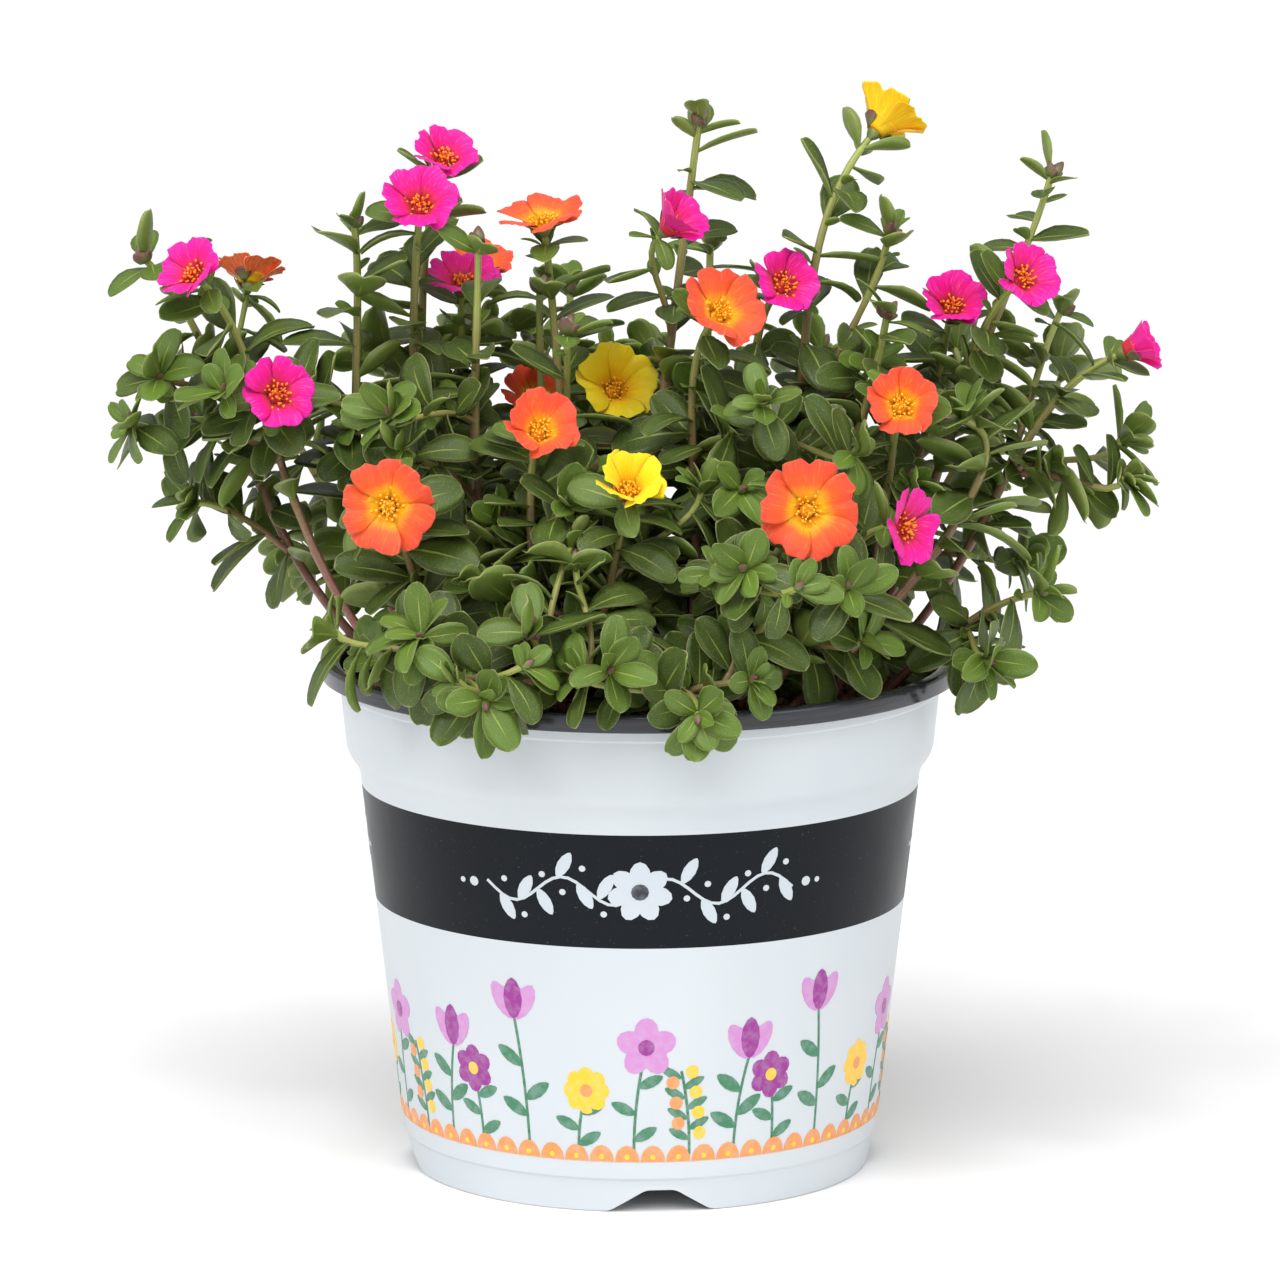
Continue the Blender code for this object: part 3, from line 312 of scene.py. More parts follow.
# %% [markdown]
# ## How a stem runs
#
# A stem leaves the soil leaning outwards, then bends up to the light, and its tip aims its own way.
# One cubic curve does that with four points. Where two stems would cross, both bend aside a little,
# again and again until all are clear, as real ones slide past each other.

# %% Curves
def direction(azimuth, elevation):
    """The unit vector at an azimuth from the viewer's side, turning to +X, and an elevation."""
    a = math.radians(azimuth)
    e = math.radians(elevation)
    return Vector((math.sin(a) * math.cos(e), -math.cos(a) * math.cos(e), math.sin(e)))


def bezier(points, t):
    u = 1 - t
    a, b, c, d = points
    return a * (u * u * u) + b * (3 * u * u * t) + c * (3 * u * t * t) + d * (t * t * t)


def tangent(points, t):
    u = 1 - t
    a, b, c, d = points
    return ((b - a) * (u * u) + (c - b) * (2 * u * t) + (d - c) * (t * t)).normalized()


def first_course(shoot, courses):
    """The four control points of a shoot as it would grow with nothing in its way."""
    tip = Vector(shoot.tip)
    aim = direction(*shoot.aim)
    if shoot.parent:
        start = bezier(courses[shoot.parent], shoot.fork)
        toward = (tip - start).normalized()
        away = (toward + tangent(courses[shoot.parent], shoot.fork) * 0.6).normalized()
    else:
        start = Vector((*shoot.root, SOIL_TOP + STRAIGHT_RISE))
        across = Vector((tip.x - start.x, tip.y - start.y, 0)).normalized()
        lean = math.radians(shoot.lean)
        away = across * math.sin(lean) + UP * math.cos(lean)
    reach = (tip - start).length
    return [start, start + away * (reach * ROOT_PULL), tip - aim * (reach * TIP_PULL), tip]

# %% Stems that bend clear of each other
def stem_radius(shoot, t):
    root = STEM_ROOT_RADIUS
    if shoot.parent:
        root = stem_radius(shoot_named(shoot.parent), shoot.fork) * FORK_SHARE
    return root + (STEM_TIP_RADIUS - root) * t


def shoot_named(name):
    return next(shoot for shoot in SHOOTS if shoot.name == name)


def bend_clear(courses, rounds=60, samples=18):
    """Bends the middles of the stems until none runs into another, a bloom or the lip of the pot."""
    carries = {bloom.shoot: bloom for bloom in BLOOMS}
    steps = [(i + 0.5) / samples for i in range(samples)]
    kin = {shoot.name: shoot.parent or shoot.name for shoot in SHOOTS}
    for _ in range(rounds):
        for shoot in SHOOTS:
            if shoot.parent:
                course = courses[shoot.name]
                start = bezier(courses[shoot.parent], shoot.fork)
                shift = start - course[0]
                course[0] = start
                course[1] = course[1] + shift
        rows = [(s, t, bezier(courses[s.name], t), stem_radius(s, t)) for s in SHOOTS for t in steps]
        balls = []
        for name, bloom in carries.items():
            shoot = shoot_named(name)
            centre = Vector(shoot.tip) + direction(*shoot.aim) * (bloom.petal * 0.45)
            balls.append((shoot, 1.0, centre, bloom.petal * 0.75))
        everything = rows + balls
        places = np.array([row[2][:] for row in everything])
        radii = np.array([row[3] for row in everything])
        moved = False
        for i, (shoot, t, place, radius) in enumerate(rows):
            away = places[i] - places
            distance = np.sqrt((away * away).sum(axis=1))
            lack = radii[i] + radii + STEM_GAP - distance
            for j in np.nonzero(lack > 0)[0]:
                other = everything[j][0]
                if other is shoot or (kin[other.name] == kin[shoot.name] and j < len(rows)):
                    continue
                push = Vector(away[j]) / max(distance[j], 0.01)
                nudge(courses[shoot.name], t, push * (float(lack[j]) * 0.6))
                moved = True
            out = math.hypot(place.x, place.y)
            low = POT_HEIGHT + LIP_GAP + radius - place.z
            if MOUTH_RADIUS - 3 - radius < out < LIP_RADIUS + 2 + radius and low > 0:
                nudge(courses[shoot.name], t, UP * (low * 0.8))
                moved = True
        if not moved:
            break


def nudge(course, t, push):
    """Moves a course's two middle control points so that its point at t goes about as far as push."""
    near_root = 3 * (1 - t) * (1 - t) * t
    near_tip = 3 * (1 - t) * t * t
    share = near_root * near_root + near_tip * near_tip + 0.05
    course[1] = course[1] + push * (near_root / share)
    course[2] = course[2] + push * (near_tip / share)


def stem_courses():
    courses = {}
    for shoot in SHOOTS:
        courses[shoot.name] = first_course(shoot, courses)
    bend_clear(courses)
    for shoot in SHOOTS:
        if shoot.parent:
            rings = stem_rings(shoot_named(shoot.parent), courses[shoot.parent])
            courses[shoot.name][0] = on_stem(rings, shoot.fork)[0]
    return courses


def even_places(course, first, last, step, least=1):
    """Shares of a course, evenly spaced by length between two shares of its length."""
    samples = 60
    points = [bezier(course, i / samples) for i in range(samples + 1)]
    run = [0.0]
    for a, b in zip(points, points[1:]):
        run.append(run[-1] + (b - a).length)
    count = max(least, round((last - first) * run[-1] / step))
    places = []
    for k in range(count + 1):
        wanted = run[-1] * (first + (last - first) * k / count)
        i = next(i for i in range(samples) if run[i + 1] >= wanted - 1e-6)
        places.append((i + (wanted - run[i]) / (run[i + 1] - run[i])) / samples)
    return places

# %% The tube of a stem
Ring = namedtuple("Ring", "t place along across radius")


def stem_rings(shoot, course):
    """The rings of the stem's tube, with a direction across each that is carried on without twist."""
    rings = []
    if not shoot.parent:
        below = Vector((course[0].x, course[0].y, SOIL_TOP - HOLE_DEPTH + 1))
        rings.append(Ring(-1.0, below, UP, UP.orthogonal().normalized(), STEM_ROOT_RADIUS))
    for t in even_places(course, 0, 1, STEM_RING_STEP, least=3):
        along = UP if t == 0 and not shoot.parent else tangent(course, t)
        across = rings[-1].across if rings else along.orthogonal()
        across = (across - along * across.dot(along)).normalized()
        rings.append(Ring(t, bezier(course, t), along, across, stem_radius(shoot, t)))
    return rings


def on_stem(rings, t):
    """The middle of the tube at t, the way it runs there and a direction across it."""
    below, above = next((a, b) for a, b in zip(rings, rings[1:]) if b.t >= t)
    share = (t - below.t) / (above.t - below.t)
    along = (above.place - below.place).normalized()
    across = below.across.lerp(above.across, share)
    across = (across - along * across.dot(along)).normalized()
    return below.place.lerp(above.place, share), along, across


def plant_of(shoot):
    """The shoot that comes out of the soil and carries this one."""
    return shoot.parent or shoot.name


def circle(count, radius=1.0):
    """Points evenly round a circle, as pairs."""
    turns = [2 * math.pi * k / count for k in range(count)]
    return [(radius * math.cos(a), radius * math.sin(a)) for a in turns]


def band(low, high):
    """The faces between two rings of points, given by number. A ring may be one point, repeated."""
    turn = [*range(1, len(low)), 0]
    return [tuple(dict.fromkeys((low[k], low[n], high[n], high[k]))) for k, n in enumerate(turn)]


def ring_faces(first, end, sides):
    """The faces of a closed skin over rings of points that are numbered from first to end."""
    rings = [range(a, a + sides) for a in range(first, end, sides)]
    ends = [tuple(rings[0][::-1]), tuple(rings[-1])]
    return ends + [face for low, high in zip(rings, rings[1:]) for face in band(low, high)]


def triangles(faces):
    """Faces as triangles, each fanned from its first corner."""
    return [(face[0], face[k], face[k + 1]) for face in faces for k in range(1, len(face) - 1)]


def tube_mesh(rings):
    """A stem as a tube with flat sides through its rings, closed at both ends."""
    points = []
    for ring in rings:
        beside = ring.along.cross(ring.across)
        points += [ring.place + (ring.across * x + beside * y) * ring.radius for x, y in circle(STEM_SIDES)]
    return points, triangles(ring_faces(0, len(points), STEM_SIDES))

# %% [markdown]
# ## How a leaf grows
#
# A purslane leaf is a small fleshy spoon: narrow at its root, widest past its middle, blunt at its tip,
# with a shallow gutter along its midrib. One formula gives any point of it, so the coarse leaf that
# tests for room and the fine leaf that is seen have the same form. A leaf turns its upper side to the
# light. Where another leaf or a bloom is in its way it grows at the next place round the stem.

# %% A leaf's form
def blade_point(form, s, across, height=0.0):
    """A point of a leaf one unit long: s runs from root to tip, across from edge to edge."""
    half = form.width * max(math.sin(math.pi * min(s, 1.0) ** WIDEST_SKEW), 0.0) ** TIP_BLUNTNESS
    half = max(half, PETIOLE_WIDTH * min(1.0, 14 * (1 - s)))
    bend = form.arch * s
    if abs(form.arch) > 1e-6:
        middle = Vector((math.sin(bend) / form.arch, 0, (math.cos(bend) - 1) / form.arch))
    else:
        middle = Vector((s, 0, 0))
    above = Vector((math.sin(bend), 0, math.cos(bend)))
    turn = form.twist * s
    side = Vector((0, math.cos(turn), 0)) + above * math.sin(turn)
    above = above * math.cos(turn) - Vector((0, math.sin(turn), 0))
    lift = form.gutter * half * across * across + height
    return middle + side * (half * across) + above * lift


def blade(form, rows, puff=0.0):
    """A leaf's faceted solid, one unit long: an upright root edge, then rings of left edge, top, right
    edge and underside, then the edge at the tip. Puff, in leaf lengths, swells it for the test that
    keeps it clear of the others, which takes the full outline's rows."""
    half = LEAF_THICKNESS / 2 + puff
    wide = 1 + puff / form.width
    points = [blade_point(form, 0, 0, half), blade_point(form, 0, 0, -half)]
    for s in rows[:-1]:
        points += [
            blade_point(form, s, -wide),
            blade_point(form, s, 0, half),
            blade_point(form, s, wide),
            blade_point(form, s, 0, -half),
        ]
    end = len(points)
    points += [blade_point(form, rows[-1], -wide), blade_point(form, rows[-1], wide)]
    faces = [(0, 2, 3), (0, 3, 4), (1, 5, 2), (1, 4, 5), (0, 1, 2), (0, 4, 1)]
    for a in range(2, end - 4, 4):
        for k in range(4):
            faces.append((a + k, a + 4 + k, a + 4 + (k + 1) % 4, a + (k + 1) % 4))
    a = end - 4
    faces += [(a, end, a + 1), (a + 1, end, end + 1), (a + 1, end + 1, a + 2)]
    faces += [(a + 2, end + 1, a + 3), (a + 3, end + 1, end), (a + 3, end, a)]
    return points, triangles(faces)


def bud():
    """A bud one unit long: a four-sided spindle."""
    wide = BUD_RADIUS / BUD_LENGTH
    ring = [Vector((0.45, y, z)) for y, z in circle(4, wide)]
    points = [Vector((0, 0, 0))] + ring + [Vector((1, 0, 0))]
    faces = [(0, 1 + (k + 1) % 4, 1 + k) for k in range(4)]
    faces += [(5, 1 + k, 1 + (k + 1) % 4) for k in range(4)]
    return points, faces


def light_at(place):
    """The way the light comes from: above, and for the low outer leaves from outside too."""
    low = min(max((LIGHT_TURNS_AT - place.z) / LIGHT_TURNS_OVER, 0.25), 1.3)
    return UP * 0.8 + Vector((place.x, place.y, 0)) * (low / LIP_RADIUS)


def leaf_matrix(place, along, side, lift, roll, length):
    """Where a leaf lies: rooted in the stem, grown to its side, lifted along it, its top to the light."""
    out = side * math.cos(lift) + along * math.sin(lift)
    above = along * math.cos(lift) - side * math.sin(lift) + light_at(place)
    above = (above - out * above.dot(out)).normalized()
    above = Matrix.Rotation(roll, 3, out) @ above
    left = above.cross(out)
    turned = Matrix((out * length, left * length, above * length)).transposed().to_4x4()
    return Matrix.Translation(place) @ turned

# %% Room in the bush
class Space:
    """What already stands in the bush, so that each new leaf is grown clear of it."""

    def __init__(self):
        self.items = []

    def add(self, owner, points, faces, free=None):
        """Free: the faces of a leaf beyond its root. They keep clear of its own plant's other leaves."""
        whole = BVHTree.FromPolygons(points, faces)
        outer = BVHTree.FromPolygons(points, free) if free else None
        self.items.append((owner, *box_of(points), whole, outer))

    def clear(self, owner, points, faces, free=None):
        low, high = box_of(points)
        whole = outer = None
        for held, its_low, its_high, its_whole, its_outer in self.items:
            if held == owner and not (free and its_outer):
                continue
            if any(low[k] > its_high[k] or high[k] < its_low[k] for k in range(3)):
                continue
            if held == owner:
                outer = outer or BVHTree.FromPolygons(points, free)
                crossing = outer.overlap(its_outer)
            else:
                whole = whole or BVHTree.FromPolygons(points, faces)
                crossing = whole.overlap(its_whole)
            if crossing:
                return False
        return True


def box_of(points):
    return [min(p[k] for p in points) for k in range(3)], [max(p[k] for p in points) for k in range(3)]


def clear_of_pot(point):
    out = math.hypot(point.x, point.y)
    if out > LIP_RADIUS + 1.0:
        return True
    return point.z > (POT_HEIGHT if out > MOUTH_RADIUS - 1.5 else SOIL_TOP) + 0.8


def transformed(matrix, points):
    return [matrix @ p for p in points]


def lip_samples(form, matrix):
    """Points all over a leaf, close enough that the lip of the pot can't pass between them."""
    return [matrix @ blade_point(form, i / 8, v) for i in range(2, 9) for v in (-1, 0, 1)]

# %% A bloom's form
def petal_middle(bloom, s):
    """Distance from the bloom's axis and height of a petal's middle line at s, with its slope."""
    start = math.radians(bloom.root_angle)
    change = math.radians(bloom.edge_angle) - start
    angle = start + change * s
    out = OVARY_TOP_RADIUS + bloom.petal * (math.cos(start) - math.cos(angle)) / change
    up = OVARY_HEIGHT + bloom.petal * (math.sin(angle) - math.sin(start)) / change
    return out, up, angle


def petal_half_width(bloom, s):
    """Half of a petal's width at s. In a cupped bloom a petal goes only part of the way round."""
    spread = math.sin(math.pi / 2 * min(1.0, s / 0.78)) ** 1.15
    full = bloom.petal * PETAL_WIDTH * (PETAL_CLAW + (1 - PETAL_CLAW) * spread)
    return min(full, petal_middle(bloom, s)[0] * math.tan(math.radians(WIDEST_TURN)))


def petal_point(bloom, azimuth, s, across, height=0.0):
    """A point of a petal: s runs from its root to its edge, across from side to side. Each petal's one
    side lies over its neighbour. Across, a petal is flat where it lies open, and follows the round of
    the bloom where it stands up."""
    notch = LOBE_NOTCH * math.exp(-((across / LOBE_NOTCH_WIDTH) ** 2))
    s = s * (1 - notch - LOBE_ROUNDING * abs(across) ** 3)
    out, up, angle = petal_middle(bloom, s)
    level = height + PETAL_OVERLAP * bloom.petal * across * min(1.0, 1.6 * s)
    out -= level * math.cos(angle)
    up += level * math.sin(angle)
    aside = math.atan2(petal_half_width(bloom, s) * across, out)
    reach = out / math.cos(aside) ** math.sin(angle)
    a = math.radians(azimuth) + aside
    return Vector((reach * math.cos(a), reach * math.sin(a), up))


def claw_share(bloom):
    """How much of a petal's width its narrow foot takes, to stay within its fifth of the bloom."""
    room = math.tan(math.radians(360 / PETALS / 2 * CLAW_ROOM)) * petal_middle(bloom, CLAW_AT)[0]
    return min(1.0, room / petal_half_width(bloom, CLAW_AT))


def bloom_matrix(shoot):
    """Where a bloom stands: just clear of its stem's end, with its axis along the stem's."""
    axis = direction(*shoot.aim)
    across = axis.cross(UP).normalized()
    turned = Matrix((across, axis.cross(across), axis)).transposed().to_4x4()
    return Matrix.Translation(Vector(shoot.tip) + axis * BLOOM_GAP) @ turned


PETAL_EDGE = ((0.55, -1), (0.9, -0.97), (1.0, -0.5), (1.0, 0), (1.0, 0.5), (0.9, 0.97), (0.55, 1))


def bloom_mesh(bloom):
    """The bloom's faceted solid: ovary, five notched petals round it and the boss of stamens."""
    sector = 360 / PETALS
    corners = [math.radians(bloom.turn + sector * (k - 0.5)) for k in range(PETALS)]

    def ring(radius, height):
        return [Vector((radius * math.cos(a), radius * math.sin(a), height)) for a in corners]

    half = PETAL_THICKNESS / 2
    rings = [ring(OVARY_BOTTOM_RADIUS, 0), ring(OVARY_TOP_RADIUS, OVARY_HEIGHT - half)]
    rings += [ring(OVARY_TOP_RADIUS, OVARY_HEIGHT + half), ring(STAMEN_RADIUS, OVARY_HEIGHT + STAMEN_HEIGHT)]
    points = [p for row in rings for p in row]
    faces = [tuple(reversed(range(PETALS))), tuple(range(3 * PETALS, 4 * PETALS))]
    claw = claw_share(bloom)
    outline = ((CLAW_AT, -claw), *PETAL_EDGE, (CLAW_AT, claw))
    edge_count = len(outline)
    first_edge = len(points)
    for k in range(PETALS):
        azimuth = bloom.turn + sector * k
        points += [petal_point(bloom, azimuth, s, v) for s, v in outline]
        points += [petal_point(bloom, azimuth, 0.62, 0, half), petal_point(bloom, azimuth, 0.62, 0, -half)]
    for k in range(PETALS):
        n = (k + 1) % PETALS
        for low in (0, 2):
            a = low * PETALS
            faces.append((a + k, a + n, a + PETALS + n, a + PETALS + k))
        edge = [first_edge + k * (edge_count + 2) + i for i in range(edge_count)]
        top = edge[-1] + 1
        under = edge[-1] + 2
        upper = [2 * PETALS + k] + edge + [2 * PETALS + n]
        lower = [PETALS + k] + edge + [PETALS + n]
        faces += [(upper[i], upper[i + 1], top) for i in range(len(upper) - 1)]
        faces += [(upper[-1], upper[0], top)]
        faces += [(lower[i + 1], lower[i], under) for i in range(len(lower) - 1)]
        faces += [(lower[0], lower[-1], under)]
        faces += [(PETALS + k, edge[0], 2 * PETALS + k), (PETALS + n, 2 * PETALS + n, edge[-1])]
    return points, triangles(faces)

# %% Leaves and buds on every shoot
Leaf = namedtuple("Leaf", "form length matrix")


def grow_leaf(space, owner, place, along, across, facet, lift, length, rng):
    """The first pose of a leaf, near the one asked for, that is clear of what already stands. It grows
    out of the middle of one of the stem's flats."""
    form = rng.randrange(len(FORMS))
    roll = rng.uniform(-0.6, 0.6)
    swing = rng.uniform(-0.06, 0.06)
    for attempt in range(TRIES):
        aside, again = attempt % STEM_SIDES, attempt // STEM_SIDES
        step = (aside + 1) // 2 * (1 if aside % 2 else -1)
        turn = 2 * math.pi * (facet + step + 0.5) / STEM_SIDES + swing
        side = Matrix.Rotation(turn, 3, along) @ across
        size = length * (1 - 0.08 * again)
        matrix = leaf_matrix(place, along, side, lift + (0, 0.3, -0.3, 0.6, -0.6)[again], roll, size)
        if not all(clear_of_pot(p) for p in lip_samples(FORMS[form], matrix)):
            continue
        points, faces = blade(FORMS[form], FULL_ROWS, LEAF_GAP / size)
        points = transformed(matrix, points)
        free = [face for face in faces if min(face) >= 2]
        if space.clear(owner, points, faces, free):
            space.add(owner, points, faces, free)
            return Leaf(form, size, matrix)
    return None


def grow_buds(space, owner, tip, rng):
    found = []
    points, faces = bud()
    for k in range(BUD_COUNT):
        turn = 2 * math.pi * k / BUD_COUNT + rng.uniform(0, 0.8)
        side = Matrix.Rotation(turn, 3, tip.along) @ tip.across
        size = BUD_LENGTH * rng.uniform(0.75, 1.05)
        place = tip.place - tip.along * 0.8
        matrix = leaf_matrix(place, tip.along, side, rng.uniform(0.75, 1.15), 0, size)
        placed = transformed(matrix, points)
        if space.clear(owner, placed, faces):
            space.add(owner, placed, faces)
            found.append(matrix)
    return found


Grown = namedtuple("Grown", "t leaf youth")
courses = stem_courses()
rings_of = {shoot.name: stem_rings(shoot, courses[shoot.name]) for shoot in SHOOTS}
leaves = {shoot.name: [] for shoot in SHOOTS}
buds = {shoot.name: [] for shoot in SHOOTS}
space = Space()


def grow_first_leaves():
    """The leaves and buds that the frame has too, each clear of the other stems, blooms and leaves."""
    for shoot in SHOOTS:
        space.add(plant_of(shoot), *tube_mesh(rings_of[shoot.name]))
    for bloom in BLOOMS:
        points, faces = bloom_mesh(bloom)
        space.add("bloom", transformed(bloom_matrix(shoot_named(bloom.shoot)), points), faces)
    for number, shoot in enumerate(SHOOTS):
        rng = random.Random(100 + number)
        rings = rings_of[shoot.name]
        owner = plant_of(shoot)
        if shoot.end == "buds":
            buds[shoot.name] = grow_buds(space, owner, rings[-1], rng)
        places = even_places(courses[shoot.name], BARE_SHARE, WHORL_AT, LEAF_STEP)
        facet = rng.randrange(STEM_SIDES)
        for t in reversed(places):
            whorl = t == places[-1]
            place, along, across = on_stem(rings, t)
            for _ in range(WHORLS[shoot.end] if whorl else 1):
                facet += 1 if whorl else 2
                size = shoot.leaf * (rng.uniform(0.62, 0.85) if whorl else rng.uniform(0.9, 1.15))
                lift = rng.uniform(0.25, 0.65) if whorl else rng.uniform(-0.1, 0.7)
                leaf = grow_leaf(space, owner, place, along, across, facet, lift, size, rng)
                if leaf:
                    leaves[shoot.name].append(Grown(t, leaf, 0.6 if whorl else 0.0))


grow_first_leaves()
print("First leaves:", sum(map(len, leaves.values())), "buds:", sum(map(len, buds.values())))

# %% [markdown]
# ## Do the finer pieces land on the frame?
#
# The frame gives the box of each of its stems. The same rules have just been run again here, so the
# leaves and stems must fill the same boxes. This cell measures the largest difference.

# %% Check the growth against the frame
STEMS = [shoot.name for shoot in SHOOTS if not shoot.parent]


def grown_points(name):
    for shoot in SHOOTS:
        if plant_of(shoot) == name:
            yield from tube_mesh(rings_of[shoot.name])[0]
            for grown in leaves[shoot.name]:
                yield from transformed(grown.leaf.matrix, blade(FORMS[grown.leaf.form], FULL_ROWS)[0])
            for matrix in buds[shoot.name]:
                yield from transformed(matrix, bud()[0])


def box_difference(name):
    ours = box_of(list(grown_points(name)))
    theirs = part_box("stem_" + name)
    return max(abs(ours[end][k] - theirs[end][k] / MILLIMETRE) for end in (0, 1) for k in range(3))


print("Largest difference from the frame:", round(max(box_difference(name) for name in STEMS), 2), "mm")

# %% [markdown]
# ## The rest of the leaves
#
# A plain model carries only as many leaves as it needs to show the bush. The real plant has many times
# more: it sends a short twig out beside many a leaf, and each twig and stem has a leaf every few
# millimetres, a rosette of young ones at its tip, and tiny ones in its forks. They grow by the same
# rule, into whatever room is left, and stay inside the frame's box.

# %% Short side twigs
TWIG_STEP = 21.0
TWIG_STRETCH = (0.08, 0.6)
TWIG_TOP = 238.0
BARE_SIDE = 66.0
BARE_ONES = ("arching", "left_front")
BARE_HEIGHT = 212.0
TWIG_LENGTHS = (20.0, 42.0)
TWIG_LEAVES = (18, 23)
TWIG_TRIES = 9
BOX_MARGIN = 0.5
SEEN_SHARE = 0.85
TURNED_AWAY = -0.6
CUP_RISE = 5
CELL = 25.0
frame_low, frame_high = (corner / MILLIMETRE for corner in cad_box)
in_view = [
    (Vector(shoot.tip) + direction(*shoot.aim) * CUP_RISE, bloom.petal * SEEN_SHARE)
    for bloom, shoot in ((bloom, shoot_named(bloom.shoot)) for bloom in BLOOMS)
    if math.cos(math.radians(shoot.aim[0])) > TURNED_AWAY
]


def hides_a_bloom(points):
    """Is any of the points just in front of a bloom, as the camera sees it?"""
    rise = math.radians(CAMERA_ELEVATION)
    for centre, radius in in_view:
        for p in points:
            off = p - centre
            up = off.z * math.cos(rise) + off.y * math.sin(rise)
            near = off.z * math.sin(rise) - off.y * math.cos(rise)
            if near > 0 and off.x * off.x + up * up < radius * radius:
                return True
    return False


def inside_frame(points):
    low, high = box_of(points)
    return all(low[k] > frame_low[k] + BOX_MARGIN and high[k] < frame_high[k] - BOX_MARGIN for k in range(3))


class Cells(Space):
    """The same test for room, quicker: what stands in the bush is also listed by cells of space."""

    def __init__(self, items):
        super().__init__()
        self.cells = {}
        for item in items:
            self.keep(item)

    def near(self, low, high):
        spans = [range(math.floor(low[k] / CELL), math.floor(high[k] / CELL) + 1) for k in range(3)]
        return [(x, y, z) for x in spans[0] for y in spans[1] for z in spans[2]]

    def keep(self, item):
        for key in self.near(item[1], item[2]):
            self.cells.setdefault(key, []).append(item)

    def add(self, owner, points, faces, free=None):
        super().add(owner, points, faces, free)
        self.keep(self.items[-1])

    def clear(self, owner, points, faces, free=None):
        found = {id(item): item for key in self.near(*box_of(points)) for item in self.cells.get(key, ())}
        self.items = list(found.values())
        return super().clear(owner, points, faces, free)


space = Cells(space.items)
twigs = []
feet = {}


def add_twig(host, t, rng):
    """Tries a few ways for one twig, and keeps it where nothing else is."""
    foot = bezier(courses[host.name], t)
    run = tangent(courses[host.name], t)
    outside = Vector((foot.x, foot.y, 0)) / LIP_RADIUS
    for _ in range(TWIG_TRIES):
        azimuth = rng.uniform(0, 360)
        toward = (direction(azimuth, rng.uniform(0, 50)) + outside * 0.7).normalized()
        tip = foot + toward * rng.uniform(*TWIG_LENGTHS)
        twig = Shoot(
            f"{host.name}_twig_{len(twigs)}", plant_of(host), t, None, tip, (azimuth, rng.uniform(15, 75)), 0,
            rng.uniform(*TWIG_LEAVES), "rosette",
        )
        reach = (tip - foot).length
        start = (toward + run * 0.5).normalized()
        course = [foot, foot + start * reach * ROOT_PULL, tip - direction(*twig.aim) * reach * TIP_PULL, tip]
        rings = stem_rings(twig, course)
        points, faces = tube_mesh(rings[1:])
        free = inside_frame(points) and all(map(clear_of_pot, points)) and not hides_a_bloom(points)
        if free and space.clear("", points, faces):
            space.add(plant_of(host), points, faces)
            twigs.append(twig)
            feet[twig.name], courses[twig.name], rings_of[twig.name] = foot, course, rings
            leaves[twig.name], buds[twig.name] = [], []
            return


def grow_twigs():
    for number, host in enumerate(SHOOTS):
        rng = random.Random(900 + number)
        for t in even_places(courses[host.name], *TWIG_STRETCH, TWIG_STEP):
            foot = bezier(courses[host.name], t)
            clothed = abs(foot.x) < BARE_SIDE or foot.z > BARE_HEIGHT
            if foot.z < TWIG_TOP and clothed and host.name not in BARE_ONES:
                add_twig(host, t, rng)


grow_twigs()
print("Twigs:", len(twigs))

# %% More leaves where there is room
CLOSE_STEP = 4.8
YOUNG_STEP = 4.5
LOW_BARE_SHARE = 0.10
SIDE_BARE_SHARE = 0.42
FRONT_EDGE = -38.0
AIRY_ABOVE = 246.0
LEAF_TRIES = 7
TIP_LEAVES = {"rosette": 7, "bloom": 3, "buds": 2}


def add_leaf(shoot, t, lift, length, youth, rng):
    """Tries a few turns round the stem for one more leaf, and keeps it where it is clear."""
    rings = rings_of[shoot.name]
    place, along, across = on_stem(rings, t)
    form = rng.randrange(len(FORMS))
    roll = rng.uniform(-0.6, 0.6)
    turn = rng.uniform(0, 2 * math.pi)
    for attempt in range(LEAF_TRIES):
        side = Matrix.Rotation(turn + attempt * 2.4, 3, along) @ across
        size = length * (1 - 0.05 * attempt)
        matrix = leaf_matrix(place, along, side, lift + rng.uniform(-0.25, 0.25), roll, size)
        if not all(clear_of_pot(p) for p in lip_samples(FORMS[form], matrix)):
            continue
        points, faces = blade(FORMS[form], FULL_ROWS, 0.1 / size)
        points = transformed(matrix, points)
        free = [face for face in faces if min(face) >= 6]
        owner = plant_of(shoot)
        if inside_frame(points) and not hides_a_bloom(points) and space.clear(owner, points, faces, free):
            space.add(owner, points, faces, free)
            leaves[shoot.name].append(Grown(t, Leaf(form, size, matrix), youth))
            return


def bare_share(shoot):
    """How much of a shoot's foot has no leaves: little at the pot's front, more on the long side stems."""
    if shoot.parent:
        return 0.12
    if shoot.name in BARE_ONES:
        return 0.6
    x, y = shoot.root
    return LOW_BARE_SHARE if y < FRONT_EDGE or abs(x) < 25 else SIDE_BARE_SHARE


